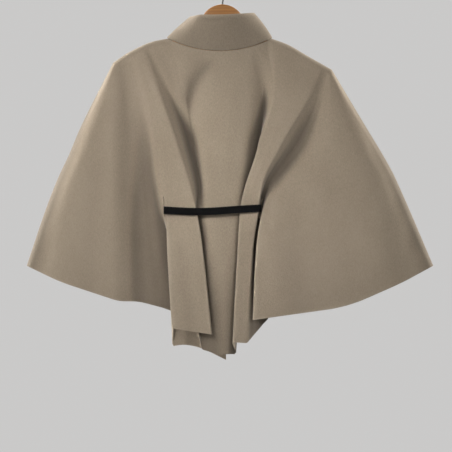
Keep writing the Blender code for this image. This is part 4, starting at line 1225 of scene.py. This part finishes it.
def use_group(tree, group, **inputs):
    return node(tree, "ShaderNodeGroup", {"node_tree": group}, **inputs).outputs


def blend_colour(tree, factor, low, high):
    made = node(tree, "ShaderNodeMix", {"data_type": "RGBA"}, _0=factor, _6=low, _7=high)
    return made.outputs[2]


def maths(tree, operation, a, b):
    return node(tree, "ShaderNodeMath", {"operation": operation}, _0=a, _1=b).outputs[0]


def weigh(tree, a, share_a, b, share_b):
    """The sum of two values, each times its share."""
    return maths(tree, "ADD", maths(tree, "MULTIPLY", a, share_a),
                 maths(tree, "MULTIPLY", b, share_b))


def span(tree, value, low, high, out_low=0.0, out_high=1.0):
    """Maps a value from one range to another, kept inside it."""
    made = node(tree, "ShaderNodeMapRange", {"interpolation_type": "SMOOTHSTEP"},
                _0=value, _1=low, _2=high, _3=out_low, _4=out_high)
    return made.outputs[0]


def piece_mark(tree, name):
    """A number that the piece's own vertices carry."""
    return node(tree, "ShaderNodeAttribute", {"attribute_name": name}).outputs["Fac"]


def group_tree(name, inputs, outputs):
    """A shader node group with these inputs, as (name, type), and outputs, all numbers."""
    tree = bpy.data.node_groups.new(name, "ShaderNodeTree")
    for label, kind in inputs:
        tree.interface.new_socket(label, in_out="INPUT", socket_type=kind)
    for label in outputs:
        tree.interface.new_socket(label, in_out="OUTPUT", socket_type="NodeSocketFloat")
    return tree, tree.nodes.new("NodeGroupInput").outputs, tree.nodes.new("NodeGroupOutput").inputs


def uneven_group():
    """Cloudy patches, a fine grain and fibres, shared by every finish."""
    name = "uneven surface"
    if name in bpy.data.node_groups:
        return bpy.data.node_groups[name]
    tree, given, out = group_tree(
        name, (("Vector", "NodeSocketVector"), ("Patch Scale", "NodeSocketFloat"),
               ("Grain Scale", "NodeSocketFloat")),
        ("Patches", "Grain", "Fibres"))
    patches = node(tree, "ShaderNodeTexNoise", Vector=given[0], Scale=given[1], Detail=3.0,
                   Roughness=0.55)
    grain = node(tree, "ShaderNodeTexNoise", Vector=given[0], Scale=given[2], Detail=3.0,
                 Roughness=0.6, Distortion=0.6)
    fibres = node(tree, "ShaderNodeTexVoronoi", {"feature": "F1"}, Vector=given[0],
                  Scale=maths(tree, "MULTIPLY", given[2], 1.7), Randomness=1.0)
    for texture, socket in zip((patches, grain, fibres), out):
        tree.links.new(texture.outputs[0], socket)
    return tree


def rubbed_group():
    """How rubbed a place is: the piece's own mark, broken up by its patches."""
    name = "rubbed edges"
    if name in bpy.data.node_groups:
        return bpy.data.node_groups[name]
    tree, given, out = group_tree(
        name, [(label, "NodeSocketFloat") for label in ("Mark", "Patches", "Amount")],
        ("Rubbed",))
    broken = span(tree, given["Patches"], 0.3, 0.7, 0.45, 1.0)
    rubbed = maths(tree, "MULTIPLY", given["Mark"], broken)
    tree.links.new(maths(tree, "MULTIPLY", rubbed, given["Amount"]), out[0])
    return tree


def rubbed(finish, amount):
    return use_group(finish.tree, rubbed_group(), Mark=piece_mark(finish.tree, "rubbed"),
                     Patches=finish.uneven["Patches"], Amount=amount)[0]


Finish = namedtuple("Finish", "mat tree place lie uneven")


def start_finish(name, patch_scale, grain_scale, stretch=(1.0, 1.0, 1.0)):
    """A new material with the uneven surface on it, stretched along the piece's axes."""
    mat = bpy.data.materials.new(name)
    mat.use_nodes = True
    tree = mat.node_tree
    place = node(tree, "ShaderNodeTexCoord").outputs["Object"]
    lie = node(tree, "ShaderNodeMapping", Vector=place, Scale=stretch).outputs[0]
    uneven = use_group(tree, uneven_group(), Vector=lie, Patch_Scale=patch_scale,
                       Grain_Scale=grain_scale)
    return Finish(mat, tree, place, lie, uneven)


def end_finish(finish, colour, relief=None, roughness=None, **constants):
    """Feeds the shader, and sets what is the same all over. Relief is its height, its
    strength and its depth in mm."""
    tree = finish.tree
    inputs = tree.nodes["Principled BSDF"].inputs
    tree.links.new(colour, inputs["Base Color"])
    if roughness:
        tree.links.new(roughness, inputs["Roughness"])
    if relief:
        height, strength, depth = relief
        bump = node(tree, "ShaderNodeBump", Strength=strength, Distance=depth * MM, Height=height)
        tree.links.new(bump.outputs[0], inputs["Normal"])
    for label, value in constants.items():
        inputs[label.replace("_", " ")].default_value = value
    return finish.mat


def wool_materials(cloth):
    """The melton's face and its cut edge."""
    names = ("wool melton face", "wool melton edge")
    if names[0] not in bpy.data.materials:
        wool_material(names[0], cloth, FACE_RUBBED, FACE_SPOTS)
        wool_material(names[1], cloth, EDGE_RUBBED, ())
    return [bpy.data.materials[name] for name in names]


def wool_material(name, cloth, amount, spots):
    """Felted wool: heathered fibres, rubbed edges, and painted shade deep in the folds and on the
    collar.
    """
    finish = start_finish(name, 11.0, 520.0, (1.0, 1.0, 0.55))
    tree, uneven = finish.tree, finish.uneven
    heather = span(tree, weigh(tree, uneven["Grain"], 0.75, uneven["Patches"], 0.45), 0.35, 0.85)
    colour = blend_colour(tree, heather, tuple(cloth.shade), tuple(cloth.colour))
    colour = blend_colour(tree, rubbed(finish, amount), colour, tuple(cloth.worn))
    # Painted shade: the colour is pulled towards a dark brown as far as the piece's mark says.
    deep = maths(tree, "MULTIPLY", piece_mark(tree, "folded"), PAINTED_SHADE_AMOUNT)
    colour = blend_colour(tree, deep, colour, tuple(cloth.folded))
    for spot in spots:
        centre = tuple(part * MM for part in (spot.x, spot.y, spot.z))
        away = node(tree, "ShaderNodeVectorMath", {"operation": "DISTANCE"}, _0=finish.place,
                    _1=centre).outputs["Value"]
        inside = span(tree, away, spot.radius * SPOT_CORE * MM, spot.radius * MM, 1.0, 0.0)
        colour = blend_colour(tree, maths(tree, "MULTIPLY", inside, spot.amount), colour,
                              spot.colour)
    nap = weigh(tree, uneven["Grain"], 1.0, uneven["Fibres"], 0.5)
    end_finish(finish, colour, (nap, 0.55, 0.5), Roughness=0.92, Specular_IOR_Level=0.22,
               Sheen_Weight=0.35, Sheen_Roughness=0.45, Sheen_Tint=(1.0, 0.93, 0.84, 1))


def leather_material(settings):
    finish = start_finish("black leather", 40.0, 900.0)
    tree, uneven = finish.tree, finish.uneven
    colour = blend_colour(tree, rubbed(finish, LEATHER_WEAR), tuple(settings.leather),
                          tuple(settings.edge))
    return end_finish(finish, colour, (uneven["Fibres"], 0.35, 0.2),
                      span(tree, uneven["Patches"], 0.3, 0.7, 0.38, 0.55),
                      Specular_IOR_Level=0.05)


def wood_material(settings):
    """Varnished wood, its rings drawn out along the hanger's arms."""
    finish = start_finish("varnished wood", 60.0, 900.0, (0.10, 1.0, 1.0))
    tree, uneven = finish.tree, finish.uneven
    rings = node(tree, "ShaderNodeTexWave", {"wave_type": "BANDS", "bands_direction": "Z"},
                 Vector=finish.lie, Scale=55.0, Distortion=7.0, Detail=3.0).outputs["Fac"]
    grain = span(tree, weigh(tree, rings, 0.6, uneven["Patches"], 0.5), 0.25, 0.95)
    colour = blend_colour(tree, grain, tuple(settings.grain), tuple(settings.wood))
    return end_finish(finish, colour, (rings, 0.15, 0.2),
                      span(tree, uneven["Grain"], 0.3, 0.7, 0.30, 0.42),
                      Coat_Weight=0.6, Coat_Roughness=0.12)


def steel_material(name, steel):
    finish = start_finish(name, 90.0, 2500.0)
    tree, uneven = finish.tree, finish.uneven
    dull = tuple(STEEL_DULL * part for part in steel[:3]) + (1,)
    colour = blend_colour(tree, span(tree, uneven["Patches"], 0.3, 0.7), dull, tuple(steel))
    return end_finish(finish, colour, None, span(tree, uneven["Grain"], 0.3, 0.7, 0.18, 0.34),
                      Metallic=1.0)


# ---------------------------------------------------------------- studio
CAMERA_X, CAMERA_Z = 0.008, -0.506      # metres, as are the lamps' places and sizes
Lamp = namedtuple("Lamp", "name place aim width height spread power colour")
LAMPS = (
    Lamp("key", (-2.8, -1.4, 0.8), (0, 0, -0.45), 1.1, 1.1, 180, 38, (1.0, 0.985, 0.96)),
    Lamp("fill", (-1.4, -3.0, 0.7), (0, 0, -0.45), 1.2, 1.2, 180, 36, (1.0, 0.99, 0.975)),
    Lamp("fill_right", (1.4, -3.0, 0.9), (0, 0, -0.45), 1.2, 1.2, 180, 18, (1.0, 0.99, 0.975)),
    Lamp("middle_left", (-1.5, -2.5, 0.9), (0, 0, -0.45), 0.4, 0.5, 10, 0.24, (1.0, 0.99, 0.97)),
    Lamp("middle_right", (1.5, -2.5, 0.7), (-0.02, 0, -0.48), 0.3, 0.4, 9, 0.05,
         (1.0, 0.99, 0.97)),
    Lamp("left_rim", (-2.3, 0.8, 0.2), (-0.2, 0, -0.45), 0.8, 1.6, 180, 120, (1.0, 0.99, 0.97)),
    Lamp("right_rim", (2.3, 0.8, 0.2), (0.2, 0, -0.45), 0.8, 1.6, 180, 110, (1.0, 0.98, 0.94)),
    Lamp("front_side", (0.6, 2.8, 0.9), (0, 0, -0.5), 2.0, 2.0, 180, 50, (1.0, 0.99, 0.97)),
)


class CAPE_OT_studio(bpy.types.Operator):
    """Make the floor, the lights and the camera"""
    bl_idname = "cape.studio"
    bl_label = "Studio"

    def execute(self, context):
        settings = context.scene.cape_studio
        bpy.ops.object.select_all(action="DESELECT")
        bpy.ops.mesh.primitive_circle_add(
            vertices=96, radius=settings.floor_radius, fill_type="NGON",
            location=(0, 0, -settings.floor_drop))
        floor = context.active_object
        floor.name = "floor"
        mat = bpy.data.materials.new("pale floor")
        mat.use_nodes = True
        shader = mat.node_tree.nodes["Principled BSDF"]
        shader.inputs["Base Color"].default_value = tuple(settings.floor_colour)
        shader.inputs["Roughness"].default_value = 0.9
        floor.data.materials.append(mat)
        for lamp in LAMPS:
            data = bpy.data.lights.new(lamp.name, "AREA")
            data.shape = "RECTANGLE"
            data.size = lamp.width
            data.size_y = lamp.height
            data.spread = math.radians(lamp.spread)
            data.energy = lamp.power
            data.color = lamp.colour
            light = bpy.data.objects.new(lamp.name, data)
            light.location = lamp.place
            aim = Vector(lamp.aim) - Vector(lamp.place)
            light.rotation_euler = aim.to_track_quat("-Z", "Y").to_euler()
            context.scene.collection.objects.link(light)
        world = bpy.data.worlds.new("pale surround")
        world.use_nodes = True
        context.scene.world = world
        tree = world.node_tree
        ground = tree.nodes["Background"]
        ground.inputs["Color"].default_value = tuple(settings.sky_colour)
        seen = node(tree, "ShaderNodeLightPath").outputs["Is Camera Ray"]
        tree.links.new(span(tree, seen, 0.0, 1.0, settings.sky_strength, 1.0),
                       ground.inputs["Strength"])
        data = bpy.data.cameras.new("camera")
        data.lens = settings.lens
        data.sensor_width = 36.0
        camera = bpy.data.objects.new("camera", data)
        camera.location = (CAMERA_X, -settings.distance, CAMERA_Z)
        camera.rotation_euler = (math.pi / 2, 0, 0)
        context.scene.collection.objects.link(camera)
        context.scene.camera = camera
        context.scene.view_settings.view_transform = "Standard"
        return {"FINISHED"}


class CAPE_PT_sidebar(bpy.types.Panel):
    bl_label = "Belted wool cape"
    bl_idname = "CAPE_PT_sidebar"
    bl_space_type = "VIEW_3D"
    bl_region_type = "UI"
    bl_category = "Cape"

    def draw(self, context):
        for operator in OPERATORS:
            self.layout.operator(operator.bl_idname)
        for group, kind in SETTINGS:
            box = self.layout.box()
            for key in kind.__annotations__:
                box.prop(getattr(context.scene, group), key)


SETTINGS = (("cape_cloth", CapeCloth), ("cape_belt", CapeBelt),
            ("cape_hanger", CapeHanger), ("cape_studio", CapeStudio))
OPERATORS = (CAPE_OT_panels, CAPE_OT_collar, CAPE_OT_belt, CAPE_OT_buckle,
             CAPE_OT_hanger, CAPE_OT_studio)


def register():
    for name, kind in SETTINGS:
        bpy.utils.register_class(kind)
        setattr(bpy.types.Scene, name, bpy.props.PointerProperty(type=kind))
    for operator in OPERATORS:
        bpy.utils.register_class(operator)
    bpy.utils.register_class(CAPE_PT_sidebar)


def unregister():
    bpy.utils.unregister_class(CAPE_PT_sidebar)
    for operator in reversed(OPERATORS):
        bpy.utils.unregister_class(operator)
    for name, kind in reversed(SETTINGS):
        delattr(bpy.types.Scene, name)
        bpy.utils.unregister_class(kind)


def main():
    register()
    bpy.ops.cape.panels()
    bpy.ops.cape.collar()
    bpy.ops.cape.belt()
    bpy.ops.cape.buckle()
    bpy.ops.cape.hanger()
    bpy.ops.cape.studio()


if __name__ == "__main__":
    main()
